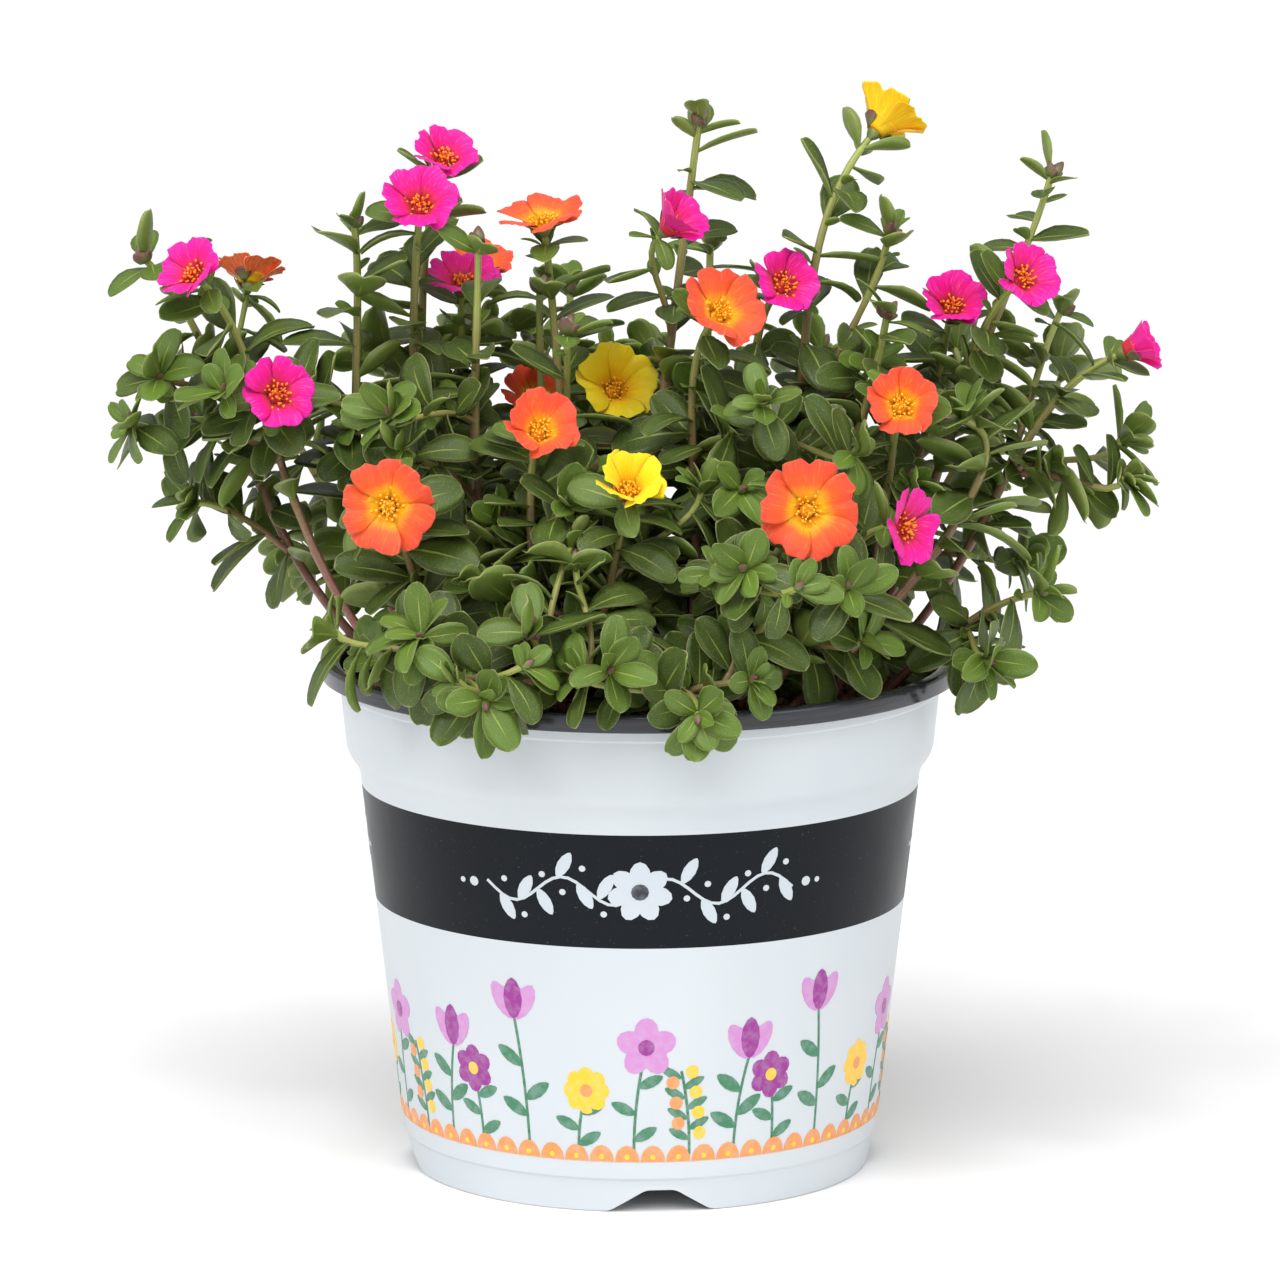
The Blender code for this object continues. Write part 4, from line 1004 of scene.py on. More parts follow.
def grow_more_leaves():
    for number, shoot in enumerate(list(SHOOTS) + twigs):
        rng = random.Random(500 + number)
        course = courses[shoot.name]
        for _ in range(TIP_LEAVES[shoot.end]):
            length = shoot.leaf * rng.uniform(0.44, 0.86)
            add_leaf(shoot, rng.uniform(0.96, 1.0), rng.uniform(0.45, 1.15), length, rng.uniform(0.7, 1), rng)
        for k, t in enumerate(reversed(even_places(course, bare_share(shoot), 0.94, CLOSE_STEP))):
            if k % 2 and bezier(course, t).z > AIRY_ABOVE:
                continue
            length = shoot.leaf * rng.uniform(0.78, 1.14)
            add_leaf(shoot, t, rng.uniform(-0.1, 0.7), length, 0.25 * t * rng.random(), rng)
        for t in even_places(course, bare_share(shoot) + 0.1, 0.9, YOUNG_STEP * 3):
            add_leaf(shoot, t, rng.uniform(0.5, 1.0), rng.uniform(5.5, 9.5), rng.uniform(0.5, 0.9), rng)


grow_more_leaves()
print("All leaves:", sum(map(len, leaves.values())))

# %% [markdown]
# ## Node trees from code
#
# Materials and Geometry Nodes are both graphs, and a small helper keeps them readable: it adds one
# node, sets its properties, and for each named input takes either a value or another node's output.
# A second helper turns an object whose modifier builds its shape into a plain mesh, because the
# finished pieces must not depend on modifiers.

# %% Helpers for node trees
def plug(node, inputs):
    """Gives a node's inputs, by name or number, each a value or an output to link."""
    for key, value in inputs.items():
        if isinstance(value, bpy.types.NodeSocket):
            node.id_data.links.new(value, node.inputs[key])
        else:
            node.inputs[key].default_value = value
    return node


def put(tree, kind, inputs=None, **settings):
    """Adds a node with its settings and its inputs."""
    made = tree.nodes.new(kind)
    for name, value in settings.items():
        setattr(made, name, value)
    return plug(made, inputs or {})


def result(tree, kind, inputs=None, **settings):
    """Adds a node and gives its first output."""
    return put(tree, kind, inputs, **settings).outputs[0]


def math_node(tree, operation, *values):
    return result(tree, "ShaderNodeMath", dict(enumerate(values)), operation=operation)


def vector_math(tree, operation, *values):
    return result(tree, "ShaderNodeVectorMath", dict(enumerate(values)), operation=operation)

# %% Helpers for Geometry Nodes
def geometry_tree(name, sockets):
    """A Geometry Nodes tree with a geometry going in and out, and named inputs with their types."""
    tree = bpy.data.node_groups.new(name, "GeometryNodeTree")
    tree.interface.new_socket("Geometry", in_out="OUTPUT", socket_type="NodeSocketGeometry")
    for label, kind in {"Geometry": "Geometry", **sockets}.items():
        tree.interface.new_socket(label, in_out="INPUT", socket_type="NodeSocket" + kind)
    return tree, put(tree, "NodeGroupInput").outputs


def named(tree, name, kind="FLOAT"):
    """Reads one of the mesh's own attributes."""
    return result(tree, "GeometryNodeInputNamedAttribute", {"Name": name}, data_type=kind)


def kind_is(tree, number):
    """Picks what is of one kind, which each point says by its number."""
    sides = {2: named(tree, "kind", "INT"), 3: number}
    return result(tree, "FunctionNodeCompare", sides, data_type="INT", operation="EQUAL")


def set_on(tree, points, forms, index, turn, size):
    """Sets one of a collection's shapes on each point."""
    shapes = result(tree, "GeometryNodeCollectionInfo", {
        "Collection": forms, "Separate Children": True, "Reset Children": True,
    })
    return result(tree, "GeometryNodeInstanceOnPoints", {
        "Points": points, "Instance": shapes, "Pick Instance": True, "Instance Index": index,
        "Rotation": turn, "Scale": size,
    })


def set_as_told(tree, points, forms):
    """Sets a shape on each point, with the form, turn and size that the point holds."""
    told = named(tree, "form", "INT"), named(tree, "turn", "QUATERNION"), named(tree, "size")
    return set_on(tree, points, forms, *told)


def finish_tree(tree, parts, finishes):
    """Joins the parts, makes them real and gives each kind its finish. Kind None is everything."""
    joined = put(tree, "GeometryNodeJoinGeometry")
    for part in parts:
        tree.links.new(part, joined.inputs[0])
    whole = result(tree, "GeometryNodeRealizeInstances", {0: joined.outputs[0]})
    for number, material in finishes.items():
        picked = {} if number is None else {"Selection": kind_is(tree, number)}
        whole = result(tree, "GeometryNodeSetMaterial", {"Geometry": whole, "Material": material, **picked})
    put(tree, "NodeGroupOutput", {"Geometry": whole})
    return tree


def built(name, mesh, tree, values, spare=()):
    """Runs a tree on a mesh. Gives a plain object, with no modifier and no spare attributes left."""
    worker = stand(name + "_worker", mesh)
    step = worker.modifiers.new("growth", "NODES")
    step.node_group = tree
    for item in tree.interface.items_tree:
        if item.in_out == "INPUT" and item.name in values:
            step[item.identifier] = values[item.name]
    graph = bpy.context.evaluated_depsgraph_get()
    grown = bpy.data.meshes.new_from_object(
        worker.evaluated_get(graph), preserve_all_data_layers=True, depsgraph=graph
    )
    bpy.data.objects.remove(worker)
    for held in spare:
        if held in grown.attributes:
            grown.attributes.remove(grown.attributes[held])
    grown.name = name
    return stand(name, grown)

# %% Helpers for meshes
Spot = namedtuple(
    "Spot", "place kind girth age youth along size form turn", defaults=(0, 0, 0, 0, 0, 0, (1, 0, 0, 0)),
)
SPOT_KINDS = {"kind": "INT", "form": "INT", "turn": "QUATERNION"}


def mesh_of(name, points, faces=(), edges=(), scale=MILLIMETRE):
    """A mesh from points in millimetres, or in lengths of its own where scale is 1."""
    mesh = bpy.data.meshes.new(name)
    spots = [Vector(point) * scale for point in points]
    mesh.from_pydata(spots, [tuple(edge) for edge in edges], [tuple(face) for face in faces])
    return mesh


def give(mesh, name, kind, values):
    """Stores one value for each point of a mesh."""
    held = mesh.attributes.new(name, kind, "POINT")
    flat = np.array(values, dtype=np.int32 if kind == "INT" else np.float32).ravel()
    held.data.foreach_set("color" if kind == "FLOAT_COLOR" else "value", flat)


def give_told(mesh, spots, names):
    """Stores what each spot holds under some names."""
    for name in names:
        give(mesh, name, SPOT_KINDS.get(name, "FLOAT"), [getattr(spot, name) for spot in spots])


def give_uv(mesh, name, uvs):
    """Stores a UV map, with a spot for each corner of each face."""
    mesh.uv_layers.new(name=name).data.foreach_set("uv", [n for face in uvs for spot in face for n in spot])


def outward(mesh):
    """Turns all faces of a closed mesh outwards."""
    shell = bmesh.new()
    shell.from_mesh(mesh)
    bmesh.ops.recalc_face_normals(shell, faces=shell.faces)
    shell.to_mesh(mesh)
    shell.free()


def form_object(mesh, smooth=True):
    """A closed shape for a tree or a cut to use. It isn't in the scene itself."""
    outward(mesh)
    if smooth:
        mesh.shade_smooth()
    return bpy.data.objects.new(mesh.name, mesh)


def parts_box(name, objects):
    """A collection that holds the shapes a tree picks from. It is emptied when they are done with."""
    made = bpy.data.collections.new(name)
    for thing in objects:
        made.objects.link(thing)
    return made


def empty_parts_box(collection):
    for thing in list(collection.objects):
        bpy.data.objects.remove(thing)
    bpy.data.collections.remove(collection)


def triangle_count(*things):
    return sum(len(face.vertices) - 2 for thing in things for face in thing.data.polygons)


def standing_in(thing, slot, *nodes):
    """Attaches a finished piece to the frame's root body and hides the frame's parts that it stands for. Its
    slot, the finish it takes, is not used.
    """
    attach(thing, "root")
    if nodes:
        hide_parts(*nodes)
    return thing

# %% [markdown]
# ## Leaf, stem and bud finishes
#
# A purslane leaf is dull green and a little frosty, with a pale midrib that fades towards the tip, a
# thin pale margin and a paler underside. All of that follows the leaf and not the room, so the
# material reads the leaf's own UV map: across it, and along it from root (0) to tip (1) above, and
# from 0 to -1 on the underside. A leaf's youth, kept as an attribute, makes it fresher and lighter.

# %% Shader helpers
def finish(name):
    """A new material. Gives it, its tree and its Principled shader."""
    made = bpy.data.materials.new(name)
    made.use_nodes = True
    return made, made.node_tree, made.node_tree.nodes["Principled BSDF"]


def mixed(tree, share, one, other, blend="MIX"):
    sides = {0: share, 6: one, 7: other}
    return put(tree, "ShaderNodeMix", sides, data_type="RGBA", blend_type=blend).outputs[2]


def ramp(tree, share, *stops):
    made = put(tree, "ShaderNodeValToRGB", {0: share})
    elements = made.color_ramp.elements
    while len(elements) < len(stops):
        elements.new(0.5)
    for element, (place, colour) in zip(elements, stops):
        element.position = place
        element.color = colour
    return made.outputs["Color"]


def between(tree, value, low, high, to_low=0.0, to_high=1.0):
    """Spreads the stretch from low to high over another, smoothly."""
    return result(tree, "ShaderNodeMapRange", {
        "Value": value, "From Min": low, "From Max": high, "To Min": to_low, "To Max": to_high,
    }, interpolation_type="SMOOTHSTEP", clamp=True)


def object_place(tree):
    """The object's own coordinates, in metres."""
    return put(tree, "ShaderNodeTexCoord").outputs["Object"]


def grain(tree, scale, detail=2.0, roughness=0.5, where=None):
    """Noise on the object's own coordinates, or on the coordinates given."""
    return result(tree, "ShaderNodeTexNoise", {
        "Vector": where or object_place(tree), "Scale": scale, "Detail": detail, "Roughness": roughness,
    })


def wander(tree, scale, reach):
    """Noise that goes as far below zero as above it."""
    return math_node(tree, "MULTIPLY_ADD", grain(tree, scale), reach, -reach / 2)


def relief(tree, shader, height, strength, distance):
    bump = put(tree, "ShaderNodeBump", {"Height": height, "Strength": strength, "Distance": distance})
    plug(shader, {"Normal": bump.outputs["Normal"]})


def own(tree, name):
    """Reads an attribute of the piece itself in a material."""
    return put(tree, "ShaderNodeAttribute", attribute_name=name).outputs["Fac"]


def map_of(tree, name):
    """A UV map, across and along it, both as a share of the whole, and whether it is the back."""
    spot = result(tree, "ShaderNodeUVMap", uv_map=name)
    split = put(tree, "ShaderNodeSeparateXYZ", {0: spot}).outputs
    along, back = math_node(tree, "ABSOLUTE", split["Y"]), math_node(tree, "LESS_THAN", split["Y"], 0.0)
    return spot, split["X"], along, back

# %% The leaf's finish
OLD_LEAF = (0.072, 0.110, 0.013, 1)
SHADE_LEAF = (0.044, 0.072, 0.010, 1)
YOUNG_LEAF = (0.116, 0.196, 0.020, 1)
UNDER_LEAF = (0.200, 0.250, 0.060, 1)
MIDRIB = (0.340, 0.420, 0.080, 1)
MARGIN = (0.380, 0.360, 0.170, 1)
FROST = (0.240, 0.300, 0.110, 1)


def leaf_finish():
    made, tree, shader = finish("leaf_skin")
    _, aside, along, under = map_of(tree, "leaf")
    across = math_node(tree, "ABSOLUTE", math_node(tree, "MULTIPLY_ADD", aside, 2.0, -1.0))
    mottle = grain(tree, 90.0, 3.0)
    speckle = grain(tree, 2600.0, 1.0)
    upper = mixed(tree, between(tree, mottle, 0.3, 0.7), SHADE_LEAF, OLD_LEAF)
    upper = mixed(tree, own(tree, "youth"), upper, YOUNG_LEAF)
    under_green = mixed(tree, between(tree, mottle, 0.2, 0.8), UNDER_LEAF, YOUNG_LEAF)
    green = mixed(tree, under, upper, under_green)
    green = mixed(tree, between(tree, speckle, 0.56, 0.76, 0.0, 0.55), green, FROST)
    width = between(tree, along, 0.0, 0.85, 0.13, 0.025)
    narrow = math_node(tree, "MULTIPLY", width, 0.25)
    rib = math_node(tree, "SUBTRACT", 1.0, between(tree, across, narrow, width))
    rib = math_node(tree, "MULTIPLY", rib, between(tree, along, 0.55, 0.88, 0.8, 0.0))
    green = mixed(tree, rib, green, MIDRIB)
    edge = math_node(tree, "MAXIMUM", between(tree, across, 0.90, 0.985), between(tree, along, 0.965, 0.995))
    green = mixed(tree, math_node(tree, "MULTIPLY", edge, 0.6), green, MARGIN)
    plug(shader, {
        "Base Color": green, "Roughness": between(tree, mottle, 0.2, 0.8, 0.42, 0.58),
        "Specular IOR Level": 0.4, "Subsurface Weight": 0.22, "Subsurface Radius": (0.4, 0.6, 0.15),
        "Subsurface Scale": 0.002,
    })
    height = math_node(tree, "SUBTRACT", math_node(tree, "MULTIPLY", speckle, 0.4), rib)
    relief(tree, shader, height, 0.35, 0.00025)
    return made

# %% [markdown]
# A stem is reddish-mauve at the soil, tan further up and light green at its tip, with fine ribs along
# it. The stem's age at each point is an attribute, so one colour ramp paints every stem. The ribs are
# real: the profile swept along the stem has them, and passes on which of its points are furrows.

# %% The finishes of stems and buds
SCAR = (0.42, 0.32, 0.22, 1)
# Darker colour in the furrows: the stem's own fine streaks, with painted shade between the ribs.
FURROW_STREAK_AND_PAINTED_SHADE = (0.55, 0.42, 0.34, 1)


def stem_finish():
    made, tree, shader = finish("stem_skin")
    colour = ramp(
        tree, math_node(tree, "ADD", own(tree, "age"), wander(tree, 60.0, 0.24)),
        (0.0, (0.180, 0.060, 0.052, 1)), (0.22, (0.270, 0.110, 0.080, 1)), (0.48, (0.290, 0.180, 0.085, 1)),
        (0.70, (0.320, 0.290, 0.085, 1)), (0.92, (0.350, 0.430, 0.090, 1)),
    )
    colour = mixed(tree, between(tree, grain(tree, 900.0), 0.45, 0.75, 0.0, 0.35), colour, SCAR)
    # Painted shade, with the stem's own streaks: the furrows between the ribs are darkened in the colour.
    furrow = math_node(tree, "MULTIPLY", own(tree, "furrow"), 0.45)
    plug(shader, {
        "Base Color": mixed(tree, furrow, colour, FURROW_STREAK_AND_PAINTED_SHADE, "MULTIPLY"), "Roughness": 0.46,
        "Subsurface Weight": 0.08, "Subsurface Radius": (0.5, 0.4, 0.2), "Subsurface Scale": 0.001,
    })
    relief(tree, shader, grain(tree, 1500.0), 0.25, 0.0002)
    return made


def bud_finish():
    made, tree, shader = finish("bud_skin")
    colour = ramp(
        tree, math_node(tree, "ADD", own(tree, "along"), wander(tree, 300.0, 0.5)),
        (0.0, (0.190, 0.270, 0.070, 1)), (0.45, (0.160, 0.170, 0.060, 1)), (0.75, (0.170, 0.085, 0.062, 1)),
        (1.0, (0.120, 0.045, 0.050, 1)),
    )
    plug(shader, {
        "Base Color": colour, "Roughness": 0.42, "Subsurface Weight": 0.08, "Subsurface Scale": 0.001,
    })
    relief(tree, shader, grain(tree, 1200.0), 0.2, 0.0002)
    return made


LEAF_SKIN, STEM_SKIN, BUD_SKIN = leaf_finish(), stem_finish(), bud_finish()
print("Plant finishes:", LEAF_SKIN.name, STEM_SKIN.name, BUD_SKIN.name)

# %% [markdown]
# ## The shapes that repeat: leaves and buds
#
# There are some three thousand leaves, so each of the six leaf forms is modelled once, one unit long,
# with a few dozen faces: an upper and a lower skin that meet in the margin. Smooth shading rounds
# them. The midrib lies in a small groove. A bud is a pointed egg with two flat sepals pressed round it.

# %% Leaf shapes
FINE_ROWS = (0.0, 0.09, 0.25, 0.44, 0.62, 0.77, 0.875, 0.945, 0.985, 1.0)
FINE_COLUMNS = (-1.0, -0.55, 0.0, 0.55, 1.0)
GROOVE = 0.35
WAVE = 0.012
ROUND_TIP = 0.26


def roundness(s):
    """How much wider than the frame's plain leaf the fine one is: its far end is rounder."""
    share = min(max((s - 0.4) / 0.4, 0.0), 1.0)
    return math.sin(math.pi * min(s, 0.992) ** WIDEST_SKEW) ** (-ROUND_TIP * share) if s > 0.4 else 1.0


def fine_leaf(number):
    """A closed leaf one unit long, with its UV map: across it, and along it, below zero underneath."""
    form = FORMS[number]
    rng = random.Random(40 + number)
    phase = rng.uniform(0, 6)
    points, rows = [], {}
    for side in (1, -1):
        for i, s in enumerate(FINE_ROWS[:-1]):
            swell = LEAF_THICKNESS / 2 * math.sin(math.pi * min(1, 0.18 + s * 0.8)) ** 0.5
            row = []
            for j, v in enumerate(FINE_COLUMNS):
                if side < 0 and abs(v) == 1:
                    row.append(rows[1, i][j])
                    continue
                height = side * swell * (1 - abs(v) ** 2.5)
                if v == 0 and side > 0:
                    height *= 1 - GROOVE
                height += WAVE * abs(v) * math.sin(phase + 7 * s + 2 * v)
                row.append(len(points))
                points.append(blade_point(form, s, v * roundness(s), height))
            rows[side, i] = row
    tip = len(points)
    points.append(blade_point(form, 1.0, 0.0))
    faces, uvs = [], []
    last = len(FINE_ROWS) - 2
    for side in (1, -1):
        for i in range(last + 1):
            for j in range(len(FINE_COLUMNS) - 1):
                ends = [(i, j), (i, j + 1), (i + 1, j + 1), (i + 1, j)]
                face = [rows[side, a][b] if a <= last else tip for a, b in ends]
                spots = [(FINE_COLUMNS[b] * 0.5 + 0.5, side * max(FINE_ROWS[a], 0.001)) for a, b in ends]
                if i == last:
                    face, spots = face[:3], spots[:3]
                faces.append(face if side < 0 else face[::-1])
                uvs.append(spots if side < 0 else spots[::-1])
    root = rows[1, 0][:] + rows[-1, 0][-2:0:-1]
    faces.append(root)
    uvs.append([(0.5, 0.001)] * len(root))
    mesh = mesh_of(f"leaf_form_{number}", points, faces, scale=1)
    give_uv(mesh, "leaf", uvs)
    return form_object(mesh)


LEAF_FORMS = parts_box("leaf_forms", [fine_leaf(number) for number in range(len(FORMS))])

# %% Bud shapes
BUD_ROWS = ((0.0, 0.35), (0.12, 0.75), (0.3, 1.0), (0.5, 0.98), (0.68, 0.78), (0.84, 0.5), (0.94, 0.26))
BUD_SIDES = 8
BUD_KINDS = 3


def tipped(count, sides):
    """The faces round a shape whose points are one end, then rings, then the other end."""
    rings = [[0] * sides, *(range(a, a + sides) for a in range(1, count - 1, sides)), [count - 1] * sides]
    return [face for low, high in zip(rings, rings[1:]) for face in band(low, high)]


def fine_bud(number):
    """A closed bud one unit long, flattened a little, with its tip bent aside."""
    rng = random.Random(60 + number)
    wide = BUD_RADIUS / BUD_LENGTH * rng.uniform(0.92, 1.08)
    bend = rng.uniform(-0.08, 0.08)
    points, along = [Vector((0, 0, 0))], [0.0]
    for x, r in BUD_ROWS:
        for k, (y, z) in enumerate(circle(BUD_SIDES)):
            ridge = 1.0 if k % 4 else 1.1
            points.append(Vector((x, wide * r * ridge * y + bend * x * x, wide * r * 0.88 * z)))
            along.append(x)
    points.append(Vector((1, bend, 0)))
    mesh = mesh_of(f"bud_form_{number}", points, tipped(len(points), BUD_SIDES), scale=1)
    give(mesh, "along", "FLOAT", along + [1.0])
    return form_object(mesh)


BUD_FORMS = parts_box("bud_forms", [fine_bud(number) for number in range(BUD_KINDS)])

# %% [markdown]
# ## The tree that grows a leafy stem
#
# A stem could be a curve with a bevel, and its leaves could be linked copies, but one Geometry Nodes
# tree does both from a bare skeleton. The skeleton is a mesh with lines for the stems and loose points
# for leaves and buds. Each point says what it is, and a leaf's point also holds its turn, its size and
# its form. The tree sweeps a ribbed profile along the lines, as thick as the point says, sets a leaf
# or a bud on each loose point, makes it all real and gives each kind its finish.

# %% The leafy stem's tree
STEM, LEAF, BUD = 0, 1, 2


def leafy_stem_tree():
    tree, given = geometry_tree("leafy_stem", {
        "Leaf forms": "Collection", "Bud forms": "Collection", "Stem sides": "Int", "Rib depth": "Float",
        "Stem finish": "Material", "Leaf finish": "Material", "Bud finish": "Material",
    })

    def only(number):
        return result(tree, "GeometryNodeSeparateGeometry", {0: given["Geometry"], 1: kind_is(tree, number)})

    lines = result(tree, "GeometryNodeMeshToCurve", {"Mesh": only(STEM)})
    odd = math_node(tree, "MODULO", result(tree, "GeometryNodeInputIndex"), 2.0)
    depth = math_node(tree, "SUBTRACT", 1.0, math_node(tree, "MULTIPLY", odd, given["Rib depth"]))
    place = {0: result(tree, "GeometryNodeInputPosition"), "Scale": depth}
    ribbed = result(tree, "GeometryNodeSetPosition", {
        "Geometry": result(tree, "GeometryNodeCurvePrimitiveCircle", {
            "Resolution": given["Stem sides"], "Radius": 1.0,
        }),
        "Position": result(tree, "ShaderNodeVectorMath", place, operation="SCALE"),
    })
    ribbed = result(tree, "GeometryNodeStoreNamedAttribute", {
        "Geometry": ribbed, "Name": "furrow", "Value": odd,
    }, data_type="FLOAT", domain="POINT")
    tube = result(tree, "GeometryNodeCurveToMesh", {
        "Curve": lines, "Profile Curve": ribbed, "Fill Caps": True, "Scale": named(tree, "girth"),
    })
    parts = (
        result(tree, "GeometryNodeSetShadeSmooth", {"Geometry": tube, "Shade Smooth": True}),
        set_as_told(tree, only(LEAF), given["Leaf forms"]),
        set_as_told(tree, only(BUD), given["Bud forms"]),
    )
    finishes = {STEM: given["Stem finish"], LEAF: given["Leaf finish"], BUD: given["Bud finish"]}
    return finish_tree(tree, parts, finishes)


LEAFY_STEM = leafy_stem_tree()
print("Nodes in the leafy stem's tree:", len(LEAFY_STEM.nodes))

# %% [markdown]
# ## Skeletons
#
# The frame's stems have few, straight stretches, but a real one bends smoothly, so the skeleton
# follows the same curve in short steps. It swells a little where each leaf joins, and thins to its
# tip. A leaf was grown on the straight stretch, so it moves with the small step from there to the
# curve.

# %% Skeletons of the leafy stems
FINE_STEP = 3.6
GIRTH_SHARE = 0.8
NODE_SWELL = 0.16
NODE_LENGTH = 0.02
SUNK = 4.0
ROSETTE_BUD = 4.6
SISTER_LEAN, SISTER_STEP = 34, 9


def age_at(shoot, t):
    """How far from the soil a point of a stem is, as a share of its whole way: it sets the colour."""
    if shoot.parent:
        start = age_at(shoot_named(shoot.parent), shoot.fork)
        return start + (1 - start) * t
    return t


def girth_at(shoot, t, joints):
    swell = sum(math.exp(-(((t - joint) / NODE_LENGTH) ** 2)) for joint in joints)
    return stem_radius(shoot, max(t, 0)) * GIRTH_SHARE * (1 + NODE_SWELL * min(1.0, swell))


def stem_spots(shoot):
    """The points along a shoot, from its foot to its tip."""
    course = courses[shoot.name]
    joints = sorted({round(grown.t, 3) for grown in leaves[shoot.name]})
    stops = even_places(course, 0, 1, FINE_STEP)
    rows = [(bezier(course, t), girth_at(shoot, t, joints), age_at(shoot, t)) for t in stops]
    if shoot.parent:
        rows[0] = (feet.get(shoot.name) or bezier(courses[shoot.parent], shoot.fork), *rows[0][1:])
    else:
        rows.insert(0, (rows[0][0] - UP * (STRAIGHT_RISE + SUNK), rows[0][1], 0.0))
    return [Spot(place, STEM, girth=girth * MILLIMETRE, age=age) for place, girth, age in rows]


def loose_spot(kind, matrix, form, youth=0):
    """One leaf or bud, from the matrix that it grew by: its length is the matrix's scale."""
    place, turn, size = matrix.decompose()
    return Spot(place, kind, youth=youth, size=size.x * MILLIMETRE, form=form, turn=turn[:])


def bud_cluster(shoot):
    """The frame's buds with a sister beside each, or one small bud in the middle of a rosette."""
    for k, matrix in enumerate(buds[shoot.name]):
        there, back = Matrix.Translation(matrix.translation), Matrix.Translation(-matrix.translation)
        hinge = matrix.col[1 + k % 2].to_3d().normalized()
        lean = Matrix.Rotation(math.radians(SISTER_LEAN + SISTER_STEP * k), 4, hinge)
        yield there @ Matrix.Scale(1.12, 4) @ back @ matrix
        yield there @ lean @ Matrix.Scale(0.9, 4) @ back @ matrix
    if shoot.end == "rosette":
        along = tangent(courses[shoot.name], 1)
        across = along.orthogonal().normalized()
        turned = Matrix((along, across, along.cross(across))).transposed().to_4x4()
        yield Matrix.Translation(courses[shoot.name][3]) @ turned @ Matrix.Scale(ROSETTE_BUD, 4)


def skeleton_of(name):
    """The spots and the lines of all shoots of one plant."""
    spots, edges = [], []
    for number, shoot in enumerate(list(SHOOTS) + twigs):
        if plant_of(shoot) != name:
            continue
        first = len(spots)
        spots += stem_spots(shoot)
        edges += [(k, k + 1) for k in range(first, len(spots) - 1)]
        for grown in leaves[shoot.name]:
            step = bezier(courses[shoot.name], grown.t) - on_stem(rings_of[shoot.name], grown.t)[0]
            matrix = Matrix.Translation(step) @ grown.leaf.matrix
            spots.append(loose_spot(LEAF, matrix, grown.leaf.form, grown.youth))
        for k, matrix in enumerate(bud_cluster(shoot)):
            spots.append(loose_spot(BUD, matrix, (number + k) % BUD_KINDS))
    return spots, edges


def make_leafy_stem(name):
    spots, edges = skeleton_of(name)
    mesh = mesh_of("skeleton_" + name, [spot.place for spot in spots], edges=edges)
    give_told(mesh, spots, ("girth", "age", "size", "youth", "kind", "form", "turn"))
    made = built("leafy_stem_" + name, mesh, LEAFY_STEM, {
        "Leaf forms": LEAF_FORMS, "Bud forms": BUD_FORMS, "Stem sides": 12, "Rib depth": 0.1,
        "Stem finish": STEM_SKIN, "Leaf finish": LEAF_SKIN, "Bud finish": BUD_SKIN,
    }, spare=("girth", "size", "kind", "form", "turn"))
    return standing_in(made, "foliage", "stem_" + name)


leafy_stems = [make_leafy_stem(name) for name in STEMS]
empty_parts_box(LEAF_FORMS)
empty_parts_box(BUD_FORMS)
print("Leafy stems:", len(leafy_stems), "triangles:", triangle_count(*leafy_stems))

# %% [markdown]
# ## Petal finishes
#
# A petal is a thin, silky skin. Its colour changes from the throat to the rim and its fine veins run
# the same way, so each petal has a UV map of its own too: across it, and along it from the throat (0)
# to the rim (1), below zero on its back. Noise stretched along the petal makes the veins and streaks.

# %% The petals' finishes
PetalColours = namedtuple("PetalColours", "throat middle rim streak back")
PETAL_COLOURS = {
    "magenta": PetalColours(
        throat=(0.62, 0.030, 0.050, 1), middle=(0.74, 0.002, 0.190, 1), rim=(0.83, 0.004, 0.310, 1),
        streak=(0.98, 0.160, 0.480, 1), back=(0.80, 0.030, 0.300, 1),
    ),
    "orange": PetalColours(
        throat=(0.98, 0.460, 0.008, 1), middle=(0.91, 0.125, 0.016, 1), rim=(0.87, 0.073, 0.034, 1),
        # The orange back is lighter than its front: the petal's own back colour, partly lightened as painted
        # light for light shining through it.
        streak=(0.98, 0.300, 0.090, 1), back=(0.98, 0.280, 0.090, 1),
    ),
    "yellow": PetalColours(
        throat=(0.97, 0.450, 0.004, 1), middle=(1.00, 0.630, 0.006, 1), rim=(1.00, 0.680, 0.012, 1),
        streak=(1.00, 0.760, 0.120, 1), back=(0.95, 0.520, 0.010, 1),
    ),
}


def petal_finish(colour):
    paint = PETAL_COLOURS[colour]
    made, tree, shader = finish("petal_" + colour)
    spot, _, along, back = map_of(tree, "petal")
    vary = vector_math(tree, "MULTIPLY", object_place(tree), (3.0, 3.0, 3.0))
    stretched = vector_math(tree, "ADD", vector_math(tree, "MULTIPLY", spot, (1.0, 0.09, 1.0)), vary)
    veins = grain(tree, 26.0, 3.0, 0.6, where=stretched)
    cloud = between(tree, grain(tree, 160.0), 0.35, 0.65, 0.0, 0.25)
    reach = math_node(tree, "ADD", along, math_node(tree, "MULTIPLY_ADD", veins, 0.36, -0.18))
    front = ramp(
        tree, reach, (0.0, paint.throat), (0.26, paint.throat), (0.50, paint.middle), (0.88, paint.rim),
    )
    outer = between(tree, along, 0.15, 0.5, 0.10, 0.5)
    streaks = math_node(tree, "MULTIPLY", between(tree, veins, 0.52, 0.72), outer)
    front = mixed(tree, streaks, front, paint.streak)
    # The back of a petal: its own colour, which for orange is also lightened as painted light for light
    # shining through.
    behind = mixed(tree, between(tree, veins, 0.4, 0.7), paint.back, paint.rim)
    plug(shader, {
        "Base Color": mixed(tree, back, mixed(tree, cloud, front, paint.rim), behind), "Roughness": 0.5,
        "Specular IOR Level": 0.22, "Sheen Weight": 0.06, "Subsurface Weight": 0.45,
        "Subsurface Radius": (1.0, 0.5, 0.4), "Subsurface Scale": 0.0012,
    })
    relief(tree, shader, veins, 0.4, 0.0003)
    return made


